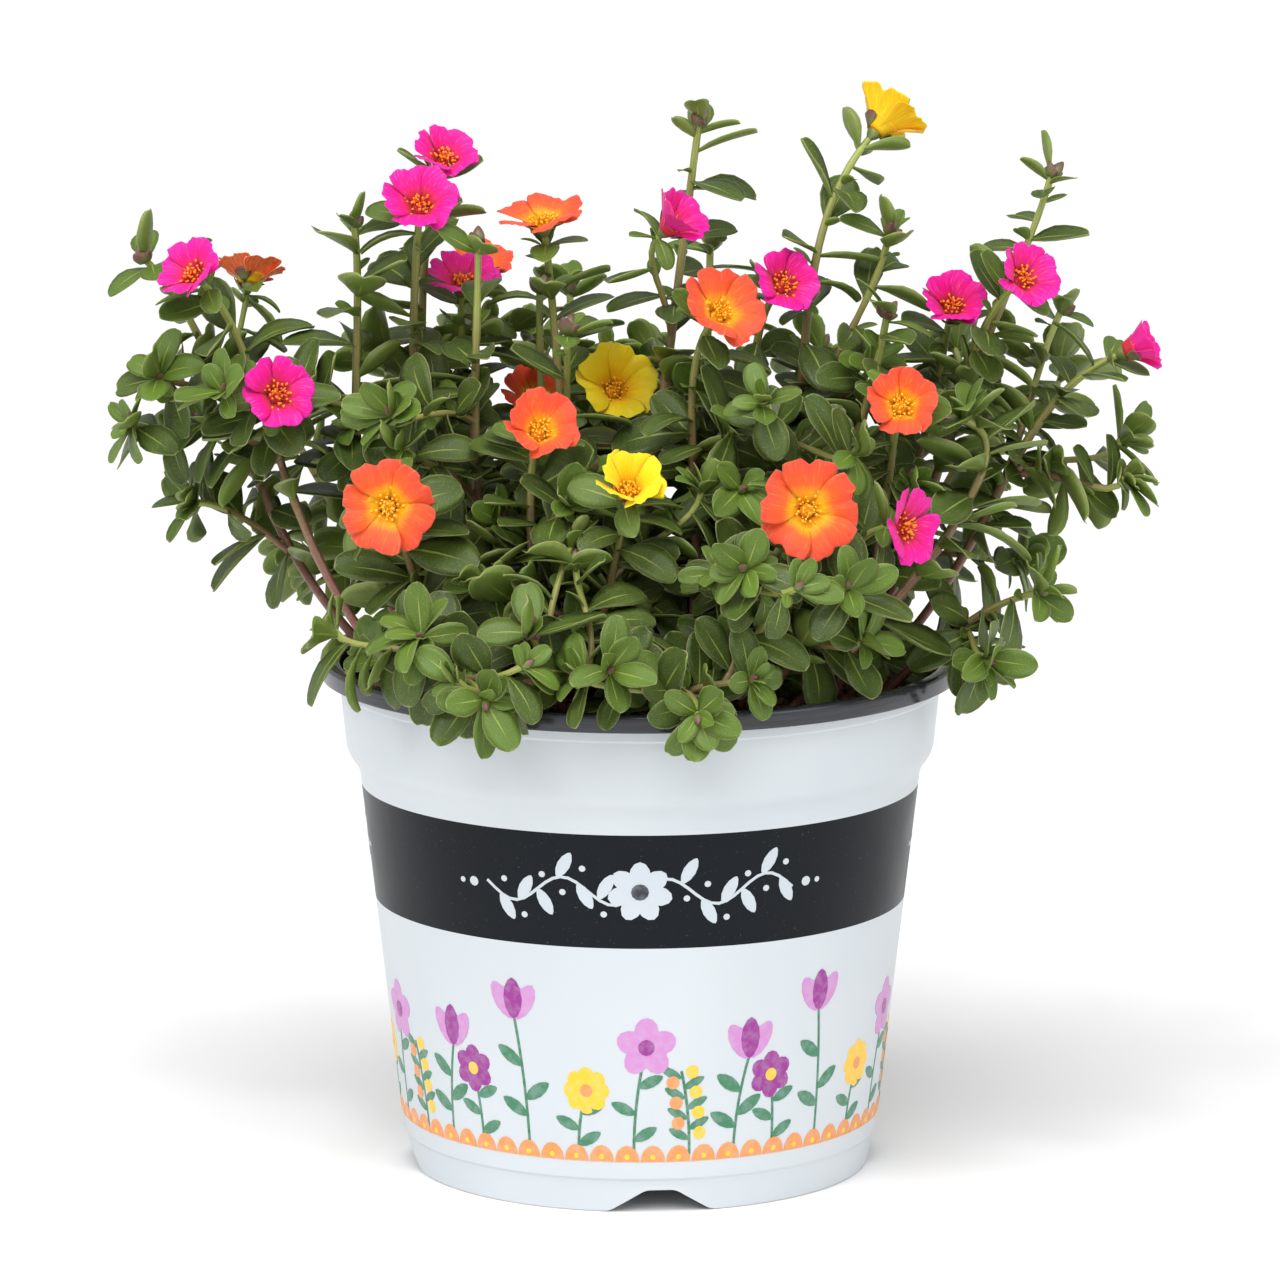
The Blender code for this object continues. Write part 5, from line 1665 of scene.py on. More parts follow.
def stamen_finish(name, stalk, pollen):
    made, tree, shader = finish(name)
    colour = ramp(tree, own(tree, "along"), (0.0, stalk), (0.72, stalk), (0.84, pollen))
    dusted = mixed(tree, between(tree, grain(tree, 1800.0), 0.4, 0.7, 0.0, 0.5), colour, pollen)
    plug(shader, {"Base Color": dusted, "Roughness": 0.55})
    relief(tree, shader, grain(tree, 4000.0), 0.3, 0.0001)
    return made


PETAL_SKINS = {colour: petal_finish(colour) for colour in PETAL_COLOURS}
RED_STAMENS = stamen_finish("red_stamens", (0.80, 0.110, 0.020, 1), (0.93, 0.300, 0.012, 1))
GOLD_STAMENS = stamen_finish("gold_stamens", (0.95, 0.400, 0.008, 1), (0.98, 0.560, 0.020, 1))

# %% [markdown]
# ## Blooms
#
# Five broad, notched petals stand round the ovary, each with one side over its neighbour. They are
# thin, so a petal is an upper and a lower skin on one formula, a fraction of a millimetre apart. No two
# are alike: each has its own length, opening and ruffles. Two sepals hold the cup from below.

# %% One petal's skins
PETAL_ROWS = (0.0, 0.1, 0.2, 0.3, 0.4, 0.5, 0.6, 0.7, 0.79, 0.87, 0.935, 0.98, 1.0)
PETAL_COLUMNS = (-1.0, -0.9, -0.72, -0.52, -0.34, -0.2, -0.09, 0.0, 0.09, 0.2, 0.34, 0.52, 0.72, 0.9, 1.0)
PETAL_SKIN = 0.24
PETAL, SEPAL, STAMEN = 0, 1, 2
Sheet = namedtuple("Sheet", "spots faces uvs")


def add_skins(sheet, kind, place, rows, columns, skin):
    """Adds a closed thin sheet. Place gives a point for a row, a column and a height over the middle."""
    grids = {}
    for side in (1, -1):
        for i, s in enumerate(rows):
            for j, v in enumerate(columns):
                rim = i in (0, len(rows) - 1) or j in (0, len(columns) - 1)
                if side < 0 and rim:
                    grids[side, i, j] = grids[1, i, j]
                    continue
                swell = 0 if rim else skin * (1 - v * v) ** 0.5 * min(1.0, 4 * (1 - s) + 0.3)
                grids[side, i, j] = len(sheet.spots)
                sheet.spots.append(Spot(place(s, v, side * swell), kind, along=s))
        for i in range(len(rows) - 1):
            for j in range(len(columns) - 1):
                ends = [(i, j), (i, j + 1), (i + 1, j + 1), (i + 1, j)]
                face = [grids[side, a, b] for a, b in ends]
                spots = [(columns[b] * 0.5 + 0.5, side * max(rows[a], 0.001)) for a, b in ends]
                sheet.faces.append(face[::side])
                sheet.uvs.append(spots[::side])


def ruffled(bloom, azimuth, rng):
    """A petal of its own: a function that gives any point of it."""
    own_bloom = bloom._replace(
        petal=bloom.petal * rng.uniform(0.95, 1.04), root_angle=bloom.root_angle + rng.uniform(-4, 4),
        edge_angle=bloom.edge_angle + rng.uniform(-9, 7),
    )
    azimuth = azimuth + rng.uniform(-3.5, 3.5)
    waves = [rng.uniform(0, 6.3) for _ in range(4)]
    depth = bloom.petal * rng.uniform(0.022, 0.04)

    def place(s, v, height):
        fold = math.sin(3.3 * v + waves[0]) + 0.6 * s * math.sin(8.5 * v + 2 * s + waves[1])
        ruffle = depth * s * s * fold
        ruffle += 0.012 * bloom.petal * s * math.sin(21 * v + waves[3])
        crease = -0.025 * bloom.petal * s * math.exp(-((v / 0.12) ** 2))
        frill = 1 + 0.018 * math.sin(10 * v + waves[2]) + 0.012 * math.sin(23 * v + waves[0])
        return petal_point(own_bloom, azimuth, s * frill, v, height + ruffle + crease)

    return place

# %% The ovary's cup and the sepals
CUP_ROWS = ((0.9, -0.5), (1.2, 0.1), (1.7, 0.8), (2.15, 1.6), (2.3, 2.4), (2.1, 3.0), (1.2, 3.3))
CUP_SIDES = 12
HEART_FROM = 2.2
THROAT_ROWS = (0.02, 0.12, 0.22, 0.32, 0.42)
THROAT_SIDES = 20
THROAT_SPOT = 0.03
SEPAL_LENGTH = 6.0


def add_faces(sheet, faces):
    """Adds faces with the colour of the throat, where they take a petal's finish."""
    sheet.faces.extend(faces)
    sheet.uvs.extend([(0.5, THROAT_SPOT)] * len(face) for face in faces)


def add_cup(sheet):
    """The green cup under the petals, turned about the bloom's axis."""
    first = len(sheet.spots)
    for r, z in CUP_ROWS:
        kind = SEPAL if z < HEART_FROM else PETAL
        sheet.spots.extend(Spot(Vector((x, y, z)), kind, along=0.2) for x, y in circle(CUP_SIDES, r))
    add_faces(sheet, ring_faces(first, len(sheet.spots), CUP_SIDES))


def add_throat(sheet, bloom):
    """A closed ring of skin behind the petals' narrow feet, which shuts the bloom's throat."""
    rings = []
    for s, height in [(s, -0.3) for s in THROAT_ROWS] + [(s, -0.6) for s in reversed(THROAT_ROWS)]:
        rings.append(range(len(sheet.spots), len(sheet.spots) + THROAT_SIDES))
        for k in range(THROAT_SIDES):
            sheet.spots.append(Spot(petal_point(bloom, 360 / THROAT_SIDES * k, s, 0, height), PETAL))
    for low, high in zip(rings, rings[1:] + rings[:1]):
        add_faces(sheet, band(low, high))


def add_sepals(sheet, bloom, rng):
    opening = bloom.root_angle + 8
    small = bloom._replace(petal=SEPAL_LENGTH, root_angle=opening, edge_angle=opening + 14)
    turn = rng.uniform(0, 180)
    for azimuth in (turn, turn + 180):
        def place(s, v, height, azimuth=azimuth):
            return petal_point(small, azimuth, s * (1 - 0.25 * abs(v)), v * 0.8, height - 0.75)
        add_skins(sheet, SEPAL, place, PETAL_ROWS[::3], PETAL_COLUMNS[::2], 0.3)

# %% [markdown]
# ## Stamens
#
# Inside each cup stand some three dozen stamens, thin stalks with a pollen head, round a star of five
# style arms. They are all alike but for their lean, so a tree sets them out: the bloom's mesh holds a
# loose point for each, with its turn and its size.

# %% Stamen shapes
STALK_SIDES = 4
STALK_ROWS = ((0.0, 0.030, 0.0), (0.35, 0.024, 0.03), (0.72, 0.020, 0.07))
HEAD_ROWS = ((0.74, 0.05, 0.075), (0.84, 0.10, 0.085), (0.95, 0.08, 0.10), (1.0, 0.02, 0.105))
ARM_ROWS = (
    (0.0, 0.045, 0.0), (0.4, 0.040, 0.06), (0.75, 0.055, 0.02), (0.95, 0.05, -0.08), (1.0, 0.02, -0.12),
)
STAMEN_COUNT = 34
STYLE_ARMS = 5
RING_RADII = (0.7, 1.25, 1.75)
RING_LEANS = (12, 26, 42)


def stalk_form(name, rows):
    """A closed stalk one unit long: each row is a place along it, a radius and a bend aside."""
    points = [Vector((along, y, bend + z)) for along, r, bend in rows for y, z in circle(STALK_SIDES, r)]
    mesh = mesh_of(name, points, ring_faces(0, len(points), STALK_SIDES), scale=1)
    give(mesh, "along", "FLOAT", [row[0] for row in rows for _ in range(STALK_SIDES)])
    return form_object(mesh)


STAMEN_FORMS = parts_box("stamen_forms", [
    stalk_form("stamen_0", STALK_ROWS + HEAD_ROWS),
    stalk_form("stamen_1", STALK_ROWS + tuple((x, r * 1.25, bend) for x, r, bend in HEAD_ROWS)),
    stalk_form("style_arm", ARM_ROWS),
])


def add_stamens(sheet, bloom, rng):
    """Loose spots for the stamens in three rings, and for the style's arms in the middle."""
    wide = 0.55 + 0.45 * min(1.0, (bloom.edge_angle - 40) / 40)

    def leaning(a, lean):
        return Vector((math.cos(a) * math.sin(lean), math.sin(a) * math.sin(lean), math.cos(lean)))

    def add(place, way, size, form):
        across = way.orthogonal().normalized()
        turned = Matrix((way, across, way.cross(across))).transposed().to_quaternion()
        spin = Matrix.Rotation(rng.uniform(0, 6.3), 3, "X").to_quaternion()
        sheet.spots.append(Spot(place, STAMEN, size=size * MILLIMETRE, form=form, turn=turned @ spin))

    for k in range(STAMEN_COUNT):
        a = 2 * math.pi * k / STAMEN_COUNT + rng.uniform(-0.15, 0.15)
        out = RING_RADII[k % 3]
        lean = math.radians(RING_LEANS[k % 3] * wide * rng.uniform(0.75, 1.25))
        size = rng.uniform(3.3, 4.6)
        place = Vector((out * math.cos(a), out * math.sin(a), OVARY_HEIGHT + 0.2))
        add(place, leaning(a, lean), size, k % 2)
    for k in range(STYLE_ARMS):
        a = 2 * math.pi * k / STYLE_ARMS + rng.uniform(-0.2, 0.2)
        lean = math.radians(rng.uniform(52, 68))
        add(Vector((0, 0, OVARY_HEIGHT + 3.6)), leaning(a, lean), rng.uniform(2.4, 3.1), 2)
    add(Vector((0, 0, OVARY_HEIGHT)), UP, 3.9, 0)

# %% The bloom's tree
def bloom_tree():
    tree, given = geometry_tree("bloom", {
        "Stamen forms": "Collection", "Petal finish": "Material", "Sepal finish": "Material",
        "Stamen finish": "Material",
    })
    slots = {0: given["Geometry"], 1: kind_is(tree, STAMEN)}
    sides = put(tree, "GeometryNodeSeparateGeometry", slots).outputs
    parts = (set_as_told(tree, sides[0], given["Stamen forms"]), sides[1])
    finishes = {PETAL: given["Petal finish"], SEPAL: given["Sepal finish"], STAMEN: given["Stamen finish"]}
    return finish_tree(tree, parts, finishes)


BLOOM_TREE = bloom_tree()


def make_bloom(bloom, name, seed):
    rng = random.Random(seed)
    sheet = Sheet([], [], [])
    for k in range(PETALS):
        place = ruffled(bloom, bloom.turn + 360 / PETALS * k, rng)
        add_skins(sheet, PETAL, place, PETAL_ROWS, PETAL_COLUMNS, PETAL_SKIN)
    add_cup(sheet)
    add_throat(sheet, bloom)
    add_sepals(sheet, bloom, rng)
    add_stamens(sheet, bloom, rng)
    matrix = bloom_matrix(shoot_named(bloom.shoot))
    whole_turn = matrix.to_quaternion()
    spots = [
        spot._replace(turn=(whole_turn @ spot.turn)[:]) if spot.kind == STAMEN else spot
        for spot in sheet.spots
    ]
    mesh = mesh_of("sheet_" + name, transformed(matrix, [spot.place for spot in spots]), sheet.faces)
    give_uv(mesh, "petal", sheet.uvs)
    give_told(mesh, spots, ("turn", "size", "form", "kind", "along"))
    mesh.shade_smooth()
    return built(name, mesh, BLOOM_TREE, {
        "Stamen forms": STAMEN_FORMS, "Petal finish": PETAL_SKINS[bloom.colour], "Sepal finish": BUD_SKIN,
        "Stamen finish": RED_STAMENS if bloom.colour == "magenta" else GOLD_STAMENS,
    }, spare=("turn", "size", "form", "kind"))


def make_blooms():
    counts = {}
    for number, bloom in enumerate(BLOOMS):
        counts[bloom.colour] = counts.get(bloom.colour, 0) + 1
        name = f"{bloom.colour}_{counts[bloom.colour]:02d}"
        made = make_bloom(bloom, "flower_" + name, 700 + number)
        yield standing_in(made, "petal_" + bloom.colour, "bloom_" + name)


flowers = list(make_blooms())
empty_parts_box(STAMEN_FORMS)
print("Flowers:", len(flowers), "triangles:", triangle_count(*flowers))

# %% [markdown]
# ## The pot's finishes
#
# The pot is one moulding in charcoal plastic, coated outside in a cool white with a near-black band.
# The coat follows the pot's height only, so its material reads the height from Object coordinates.
# Plastic is a little glossy: at its sides the dark band mirrors the pale room, as in the photograph.

# %% Plastic finishes
BAND_LOW = 84.4
BAND_HIGH = 120.0
COAT_WHITE = (0.600, 0.645, 0.680, 1)
COAT_PALE = (0.63, 0.67, 0.70, 1)
BAND_INK = (0.0060, 0.0085, 0.0120, 1)
DUST = (0.5, 0.5, 0.5, 1)
CHARCOAL = (0.020, 0.023, 0.028, 1)
# Lighter streaks round the rim: painted highlight streaks.
CHARCOAL_PAINTED_HIGHLIGHT = (0.045, 0.050, 0.058, 1)


def coat_finish():
    made, tree, shader = finish("pot_coat")
    height = put(tree, "ShaderNodeSeparateXYZ", {0: object_place(tree)}).outputs["Z"]
    over = math_node(tree, "GREATER_THAN", height, BAND_LOW * MILLIMETRE)
    below = math_node(tree, "LESS_THAN", height, BAND_HIGH * MILLIMETRE)
    white = mixed(tree, between(tree, grain(tree, 14.0), 0.3, 0.7), COAT_WHITE, COAT_PALE)
    ink = mixed(tree, between(tree, grain(tree, 1500.0, 1.0), 0.735, 0.76, 0.0, 0.10), BAND_INK, DUST)
    plug(shader, {
        "Base Color": mixed(tree, math_node(tree, "MULTIPLY", over, below), white, ink),
        "Roughness": between(tree, grain(tree, 30.0, 3.0), 0.3, 0.7, 0.30, 0.38), "Specular IOR Level": 0.14,
    })
    relief(tree, shader, grain(tree, 260.0), 0.06, 0.0003)
    return made


def charcoal_finish():
    made, tree, shader = finish("pot_rim")
    round_rim = vector_math(tree, "MULTIPLY", object_place(tree), (8.0, 8.0, 260.0))
    streaks = grain(tree, 3.0, 4.0, 0.6, where=round_rim)
    # The lighter streaks in the colour are painted highlights; the gloss and the relief follow the same
    # streaks.
    plug(shader, {
        "Base Color": mixed(tree, between(tree, streaks, 0.35, 0.75), CHARCOAL, CHARCOAL_PAINTED_HIGHLIGHT),
        "Roughness": between(tree, streaks, 0.3, 0.75, 0.12, 0.26),
    })
    relief(tree, shader, streaks, 0.12, 0.0003)
    return made


COAT, CHARCOAL_PLASTIC = coat_finish(), charcoal_finish()

# %% [markdown]
# ## The pot
#
# A pot like this is turned: one section, spun about the upright axis. The section here has the frame's
# own sizes, with every corner rounded by an arc, a fine step under the rim and the rolled lip. The
# notches in the foot and the drain holes are then cut by a Boolean, with rounded corners too.

# %% Turned shapes
ARC_STEPS = 4
Corner = namedtuple("Corner", "r z bend coat")


def rounded(rows):
    """Points of a section or outline, with each corner that has a bend turned into an arc."""
    corners = [Corner(*row) for row in rows]
    found = []
    for k, corner in enumerate(corners):
        here = Vector(corner[:2])
        if not corner.bend:
            found.append((here, corner.coat))
            continue
        back = (Vector(corners[k - 1][:2]) - here).normalized()
        on = (Vector(corners[(k + 1) % len(corners)][:2]) - here).normalized()
        start, end = here + back * corner.bend, here + on * corner.bend
        for t in (i / ARC_STEPS for i in range(ARC_STEPS + 1)):
            found.append((start * (1 - t) ** 2 + here * (2 * t * (1 - t)) + end * t * t, corner.coat))
    return found


def turned_mesh(name, section, sides, finishes):
    """Spins a section that starts and ends on the axis. Each stretch has its own finish."""
    (foot, _), (head, _) = section[0], section[-1]
    points = [Vector((x, y, spot.y)) for spot, _ in section[1:-1] for x, y in circle(sides, spot.x)]
    points = [Vector((0, 0, foot.y)), *points, Vector((0, 0, head.y))]
    mesh = mesh_of(name, points, tipped(len(points), sides))
    for material in finishes:
        mesh.materials.append(material)
    coats = [coat for _, coat in section[1:]]
    mesh.polygons.foreach_set("material_index", [coat for coat in coats for _ in range(sides)])
    outward(mesh)
    return mesh


def cut(thing, cutters):
    """Cuts each closed cutter out of a piece."""
    box = parts_box("cutters", cutters)
    step = thing.modifiers.new("cut", "BOOLEAN")
    step.operand_type = "COLLECTION"
    step.collection = box
    graph = bpy.context.evaluated_depsgraph_get()
    mesh = bpy.data.meshes.new_from_object(thing.evaluated_get(graph))
    thing.modifiers.remove(step)
    thing.data = mesh
    empty_parts_box(box)

# %% The pot's section and cuts
POT_FINE_SIDES = 160
STEP_HEIGHT = 149.4
STEP_DEPTH = 0.35
NOTCH_ROUND = 1.6
DRAIN_SIDES = 32
SHARP_FROM = 32
WHITE, DARK = 0, 1


def collar_radius(z):
    """The outside of the collar, a straight line between its foot and the lip."""
    share = (z - COLLAR_BOTTOM) / (POT_HEIGHT - COLLAR_BOTTOM)
    return COLLAR_FOOT_RADIUS + (MOUTH_RADIUS + POT_WALL - COLLAR_FOOT_RADIUS) * share


def pot_section():
    inner = BODY_TOP_RADIUS - POT_WALL
    foot_inside = FOOT_RADIUS - FOOT_WALL
    return rounded((
        (0, FLOOR_UNDERSIDE + POT_WALL, 0, DARK),
        (BODY_BOTTOM_RADIUS - POT_WALL - 0.6, FLOOR_UNDERSIDE + POT_WALL, 3, DARK),
        (inner, BODY_TOP + 0.3, 1.5, DARK),
        (COLLAR_FOOT_RADIUS - POT_WALL, COLLAR_BOTTOM + 0.4, 1.5, DARK),
        (MOUTH_RADIUS, POT_HEIGHT - 1.2, 1.0, DARK),
        (MOUTH_RADIUS + 1.6, POT_HEIGHT - 0.9, 0.5, DARK),
        (MOUTH_RADIUS + 2.3, POT_HEIGHT, 0.5, DARK),
        (LIP_RADIUS, POT_HEIGHT, 1.4, DARK),
        (LIP_RADIUS, POT_HEIGHT - LIP_DEPTH, 0.5, DARK),
        (LIP_RADIUS - LIP_WALL, POT_HEIGHT - LIP_DEPTH, 0.4, DARK),
        (LIP_RADIUS - LIP_WALL, POT_HEIGHT - LIP_WALL, 0.5, DARK),
        (MOUTH_RADIUS + POT_WALL, POT_HEIGHT - LIP_WALL, 0.6, DARK),
        (collar_radius(STEP_HEIGHT + 0.5), STEP_HEIGHT + 0.5, 0.3, WHITE),
        (collar_radius(STEP_HEIGHT) - STEP_DEPTH, STEP_HEIGHT, 0.3, WHITE),
        (COLLAR_FOOT_RADIUS, COLLAR_BOTTOM, 2.6, WHITE),
        (BODY_TOP_RADIUS, BODY_TOP, 2.6, WHITE),
        (BODY_BOTTOM_RADIUS, BODY_BOTTOM, 0.4, WHITE),
        (BODY_BOTTOM_RADIUS - 0.8, BODY_BOTTOM - 0.7, 0.4, WHITE),
        (FOOT_RADIUS, 0, 0.7, WHITE),
        (foot_inside, 0, 0.7, WHITE),
        (foot_inside + 1.2, FLOOR_UNDERSIDE, 0.8, WHITE),
        (0, FLOOR_UNDERSIDE, 0, WHITE),
    ))


def prism(name, outline, place, near, far):
    """A closed prism from a flat outline, from near to far along the place's y axis."""
    points = [place @ Vector((x, y, z)) for y in (near, far) for x, z in outline]
    count = len(outline)
    faces = [range(count), range(2 * count - 1, count - 1, -1)]
    faces += [(k, count + k, count + (k + 1) % count, (k + 1) % count) for k in range(count)]
    mesh = mesh_of(name, points, faces)
    mesh.materials.append(COAT)
    return form_object(mesh, smooth=False)


def pot_cutters():
    wide, narrow = NOTCH_BOTTOM_WIDTH / 2, NOTCH_TOP_WIDTH / 2
    notch = rounded((
        (-wide - 6, -3, 0, 0), (wide + 6, -3, 0, 0), (wide + 6, -0.02, 0, 0), (wide, 0.3, NOTCH_ROUND, 0),
        (narrow, NOTCH_HEIGHT, NOTCH_ROUND, 0), (-narrow, NOTCH_HEIGHT, NOTCH_ROUND, 0),
        (-wide, 0.3, NOTCH_ROUND, 0), (-wide - 6, -0.02, 0, 0),
    ))
    outline = [tuple(spot) for spot, _ in notch]
    for k in range(NOTCH_COUNT):
        place = Matrix.Rotation(math.radians(NOTCH_FIRST_AZIMUTH + 360 / NOTCH_COUNT * k), 4, "Z")
        yield prism(f"notch_{k}", outline, place, -FOOT_RADIUS - 8, -FOOT_RADIUS + 12)
        below = place @ Matrix.Translation((0, -DRAIN_RING_RADIUS, 0))
        upright = below @ Matrix.Rotation(math.pi / 2, 4, "X")
        yield prism(f"drain_{k}", circle(DRAIN_SIDES, DRAIN_RADIUS), upright, 2, 14)


def make_pot():
    mesh = turned_mesh("nursery_pot", pot_section(), POT_FINE_SIDES, (COAT, CHARCOAL_PLASTIC))
    made = stand("nursery_pot", mesh)
    cut(made, list(pot_cutters()))
    made.data.shade_smooth()
    made.data.set_sharp_from_angle(angle=math.radians(SHARP_FROM))
    return standing_in(made, "pot_plastic", "pot")


pot = make_pot()
print("Pot:", triangle_count(pot), "triangles, finishes:", [m.name for m in pot.data.materials])

# %% [markdown]
# ## Potting mix
#
# The mix is a dark, crumbly bed of bark and coir. Its surface is a turned disc with lumps raised by
# noise, and bark chips lie scattered over it. Scattering is a job for Geometry Nodes: the tree spreads
# points over the top of the bed, with a fixed seed, and sets a chip of a random form, turn and size on
# each.

# %% Bark finishes
def bark_finish(name, dark, light, scale):
    made, tree, shader = finish(name)
    patchy = math_node(tree, "MULTIPLY_ADD", grain(tree, scale, 4.0), 0.7, -0.35)
    middle = tuple(0.5 * (a + b) for a, b in zip(dark, light))
    shade = math_node(tree, "ADD", own(tree, "tint"), patchy)
    colour = ramp(tree, shade, (0.1, dark), (0.55, middle), (0.95, light))
    plug(shader, {"Base Color": colour, "Roughness": 0.85})
    relief(tree, shader, grain(tree, scale * 2, 4.0), 0.6, 0.0005)
    return made


BED = bark_finish("potting_bed", (0.010, 0.006, 0.004, 1), (0.090, 0.042, 0.020, 1), 500.0)
CHIPS = bark_finish("bark_chips", (0.030, 0.014, 0.008, 1), (0.360, 0.175, 0.085, 1), 900.0)

# %% The bed
LUMP_RISE = 1.5
BED_SIDES = 96
BED_ROWS = 40
EDGE_ROWS = 3


def soil_top_radius():
    collar = COLLAR_FOOT_RADIUS - POT_WALL
    share = (SOIL_TOP - COLLAR_BOTTOM) / (POT_HEIGHT - COLLAR_BOTTOM)
    return collar + (MOUTH_RADIUS - collar) * share - SOIL_GAP - 0.3


def bed_section():
    floor = FLOOR_UNDERSIDE + POT_WALL + SOIL_GAP
    top = soil_top_radius()
    spots = [
        (0, floor),
        (BODY_BOTTOM_RADIUS - POT_WALL - 0.6 - SOIL_GAP, floor),
        (BODY_TOP_RADIUS - POT_WALL - SOIL_GAP, BODY_TOP + 0.6),
        (COLLAR_FOOT_RADIUS - POT_WALL - SOIL_GAP, COLLAR_BOTTOM + 0.6),
        (top, SOIL_TOP - SOIL_EDGE_DROP - 1.5),
    ]
    for k in range(BED_ROWS + 1):
        spots.append((top * (1 - k / BED_ROWS), SOIL_TOP - SOIL_EDGE_DROP * max(0.0, 1 - k / EDGE_ROWS)))
    return [(Vector(spot), 0) for spot in spots]


def make_bed():
    mesh = turned_mesh("potting_bed", bed_section(), BED_SIDES, (BED,))
    for point in mesh.vertices:
        place = point.co / MILLIMETRE
        if place.z > SOIL_TOP - SOIL_EDGE_DROP - 0.1:
            lump = noise.noise(place * 0.11) * 0.8 + noise.noise(place * 0.45) * 0.5 - 0.6
            point.co.z += LUMP_RISE * lump * MILLIMETRE
    give(mesh, "tint", "FLOAT", [0.5] * len(mesh.vertices))
    mesh.shade_smooth()
    return standing_in(stand("potting_bed", mesh), "potting_mix", "soil")

# %% The bark chips
CHIP_FORMS = 5
CHIP_SIDES = 6
CHIP_ROWS = ((-0.5, 0.5), (-0.15, 1.0), (0.2, 0.9), (0.5, 0.45))
CHIP_GAP = 2.1
CHIP_SIZES = (2.6, 8.0)
CHIP_CROWD = 260000.0
CHIP_SEED = 11
EDGE_ROOM = 3.0


def chip_form(number):
    """A splintered flake one unit long: a bent, uneven six-sided bar."""
    rng = random.Random(80 + number)
    wide, thick = rng.uniform(0.22, 0.5), rng.uniform(0.10, 0.2)
    points = []
    for x, share in CHIP_ROWS:
        for y, z in circle(CHIP_SIDES):
            r = share * rng.uniform(0.75, 1.15)
            points.append(Vector((x + rng.uniform(-0.06, 0.06), wide * r * y, thick * r * z + 0.05 * x)))
    faces = ring_faces(0, len(points), CHIP_SIDES)
    return form_object(mesh_of(f"chip_{number}", points, faces, scale=1), smooth=False)


def chip_tree():
    tree, given = geometry_tree("bark_chips", {
        "Chip forms": "Collection", "Least gap": "Float", "Reach": "Float", "Least size": "Float",
        "Most size": "Float", "Seed": "Int", "Finish": "Material",
    })

    def chance(kind, low, high, offset):
        """A random value for each chip. The node has other sockets for each kind of value."""
        low_slot, high_slot, out = {"FLOAT_VECTOR": (0, 1, 0), "FLOAT": (2, 3, 1), "INT": (4, 5, 2)}[kind]
        seed = math_node(tree, "ADD", given["Seed"], float(offset))
        slots = {low_slot: low, high_slot: high, "Seed": seed}
        return put(tree, "FunctionNodeRandomValue", slots, data_type=kind).outputs[out]

    facing = put(tree, "ShaderNodeSeparateXYZ", {0: result(tree, "GeometryNodeInputNormal")}).outputs["Z"]
    flat = vector_math(tree, "MULTIPLY", result(tree, "GeometryNodeInputPosition"), (1.0, 1.0, 0.0))
    out = put(tree, "ShaderNodeVectorMath", {0: flat}, operation="LENGTH").outputs["Value"]
    inner = math_node(tree, "LESS_THAN", out, given["Reach"])
    points = result(tree, "GeometryNodeDistributePointsOnFaces", {
        "Mesh": given["Geometry"], "Distance Min": given["Least gap"], "Density Max": CHIP_CROWD,
        "Selection": math_node(tree, "MULTIPLY", math_node(tree, "GREATER_THAN", facing, 0.3), inner),
        "Seed": given["Seed"],
    }, distribute_method="POISSON")
    chips = set_on(
        tree, points, given["Chip forms"], chance("INT", 0, CHIP_FORMS - 1, 1),
        chance("FLOAT_VECTOR", (-0.7, -0.7, 0.0), (0.7, 0.7, 6.283), 2),
        chance("FLOAT", given["Least size"], given["Most size"], 3),
    )
    chips = result(tree, "GeometryNodeStoreNamedAttribute", {
        "Geometry": chips, "Name": "tint", "Value": chance("FLOAT", 0.0, 1.0, 4),
    }, data_type="FLOAT", domain="INSTANCE")
    return finish_tree(tree, (chips,), {None: given["Finish"]})


def make_chips(bed):
    forms = parts_box("chip_forms", [chip_form(number) for number in range(CHIP_FORMS)])
    least, most = CHIP_SIZES
    made = built("bark_chips", bed.data.copy(), chip_tree(), {
        "Chip forms": forms, "Least gap": CHIP_GAP * MILLIMETRE,
        "Reach": (soil_top_radius() - EDGE_ROOM) * MILLIMETRE, "Least size": least * MILLIMETRE,
        "Most size": most * MILLIMETRE, "Seed": CHIP_SEED, "Finish": CHIPS,
    })
    empty_parts_box(forms)
    return standing_in(made, "potting_mix")


bed = make_bed()
chips = make_chips(bed)
print("Potting mix:", triangle_count(bed), "and chips:", triangle_count(chips), "triangles")

# %% [markdown]
# ## The printed design
#
# The pot's wall carries a made-up pattern in a few flat inks: sprigs in plum, lilac, yellow and green
# on a scalloped terracotta ground, and a pale vine on the dark band. An image texture could paint it,
# but a shape stays sharp at any size, so each ink is a very thin closed film. The motif is drawn flat,
# in millimetres along the wall and up it, and a Geometry Nodes tree repeats it and wraps it on the cone.

# %% Flat shapes in ink
INKS = {
    "plum": (0.300, 0.022, 0.262, 1), "lilac": (0.590, 0.250, 0.560, 1), "yellow": (0.930, 0.560, 0.020, 1),
    "green": (0.045, 0.205, 0.105, 1), "terracotta": (0.800, 0.290, 0.075, 1),
    "pale": (0.560, 0.620, 0.660, 1),
    "dark": (0.020, 0.026, 0.035, 1),
}
FILM = 0.09
LAYER = 0.035
BURIED = 0.06


def patch(sheet, outline, ink, layer=0):
    """A closed film of ink with an outline that bends outwards only, fanned about its middle."""
    count, first = len(outline), len(sheet["points"])
    middle = sum(outline, Vector((0, 0))) / count
    for height in (FILM + LAYER * layer, -BURIED):
        sheet["points"] += [Vector((p.x, height, p.y)) for p in (middle, *outline)]
    sheet["ink"] += [INKS[ink]] * (2 * count + 2)
    low = first + count + 1
    for k in range(count):
        a, b = 1 + k, 1 + (k + 1) % count
        sheet["faces"] += [(first, first + a, first + b), (low, low + b, low + a)]
        sheet["faces"].append((first + a, low + a, low + b, first + b))


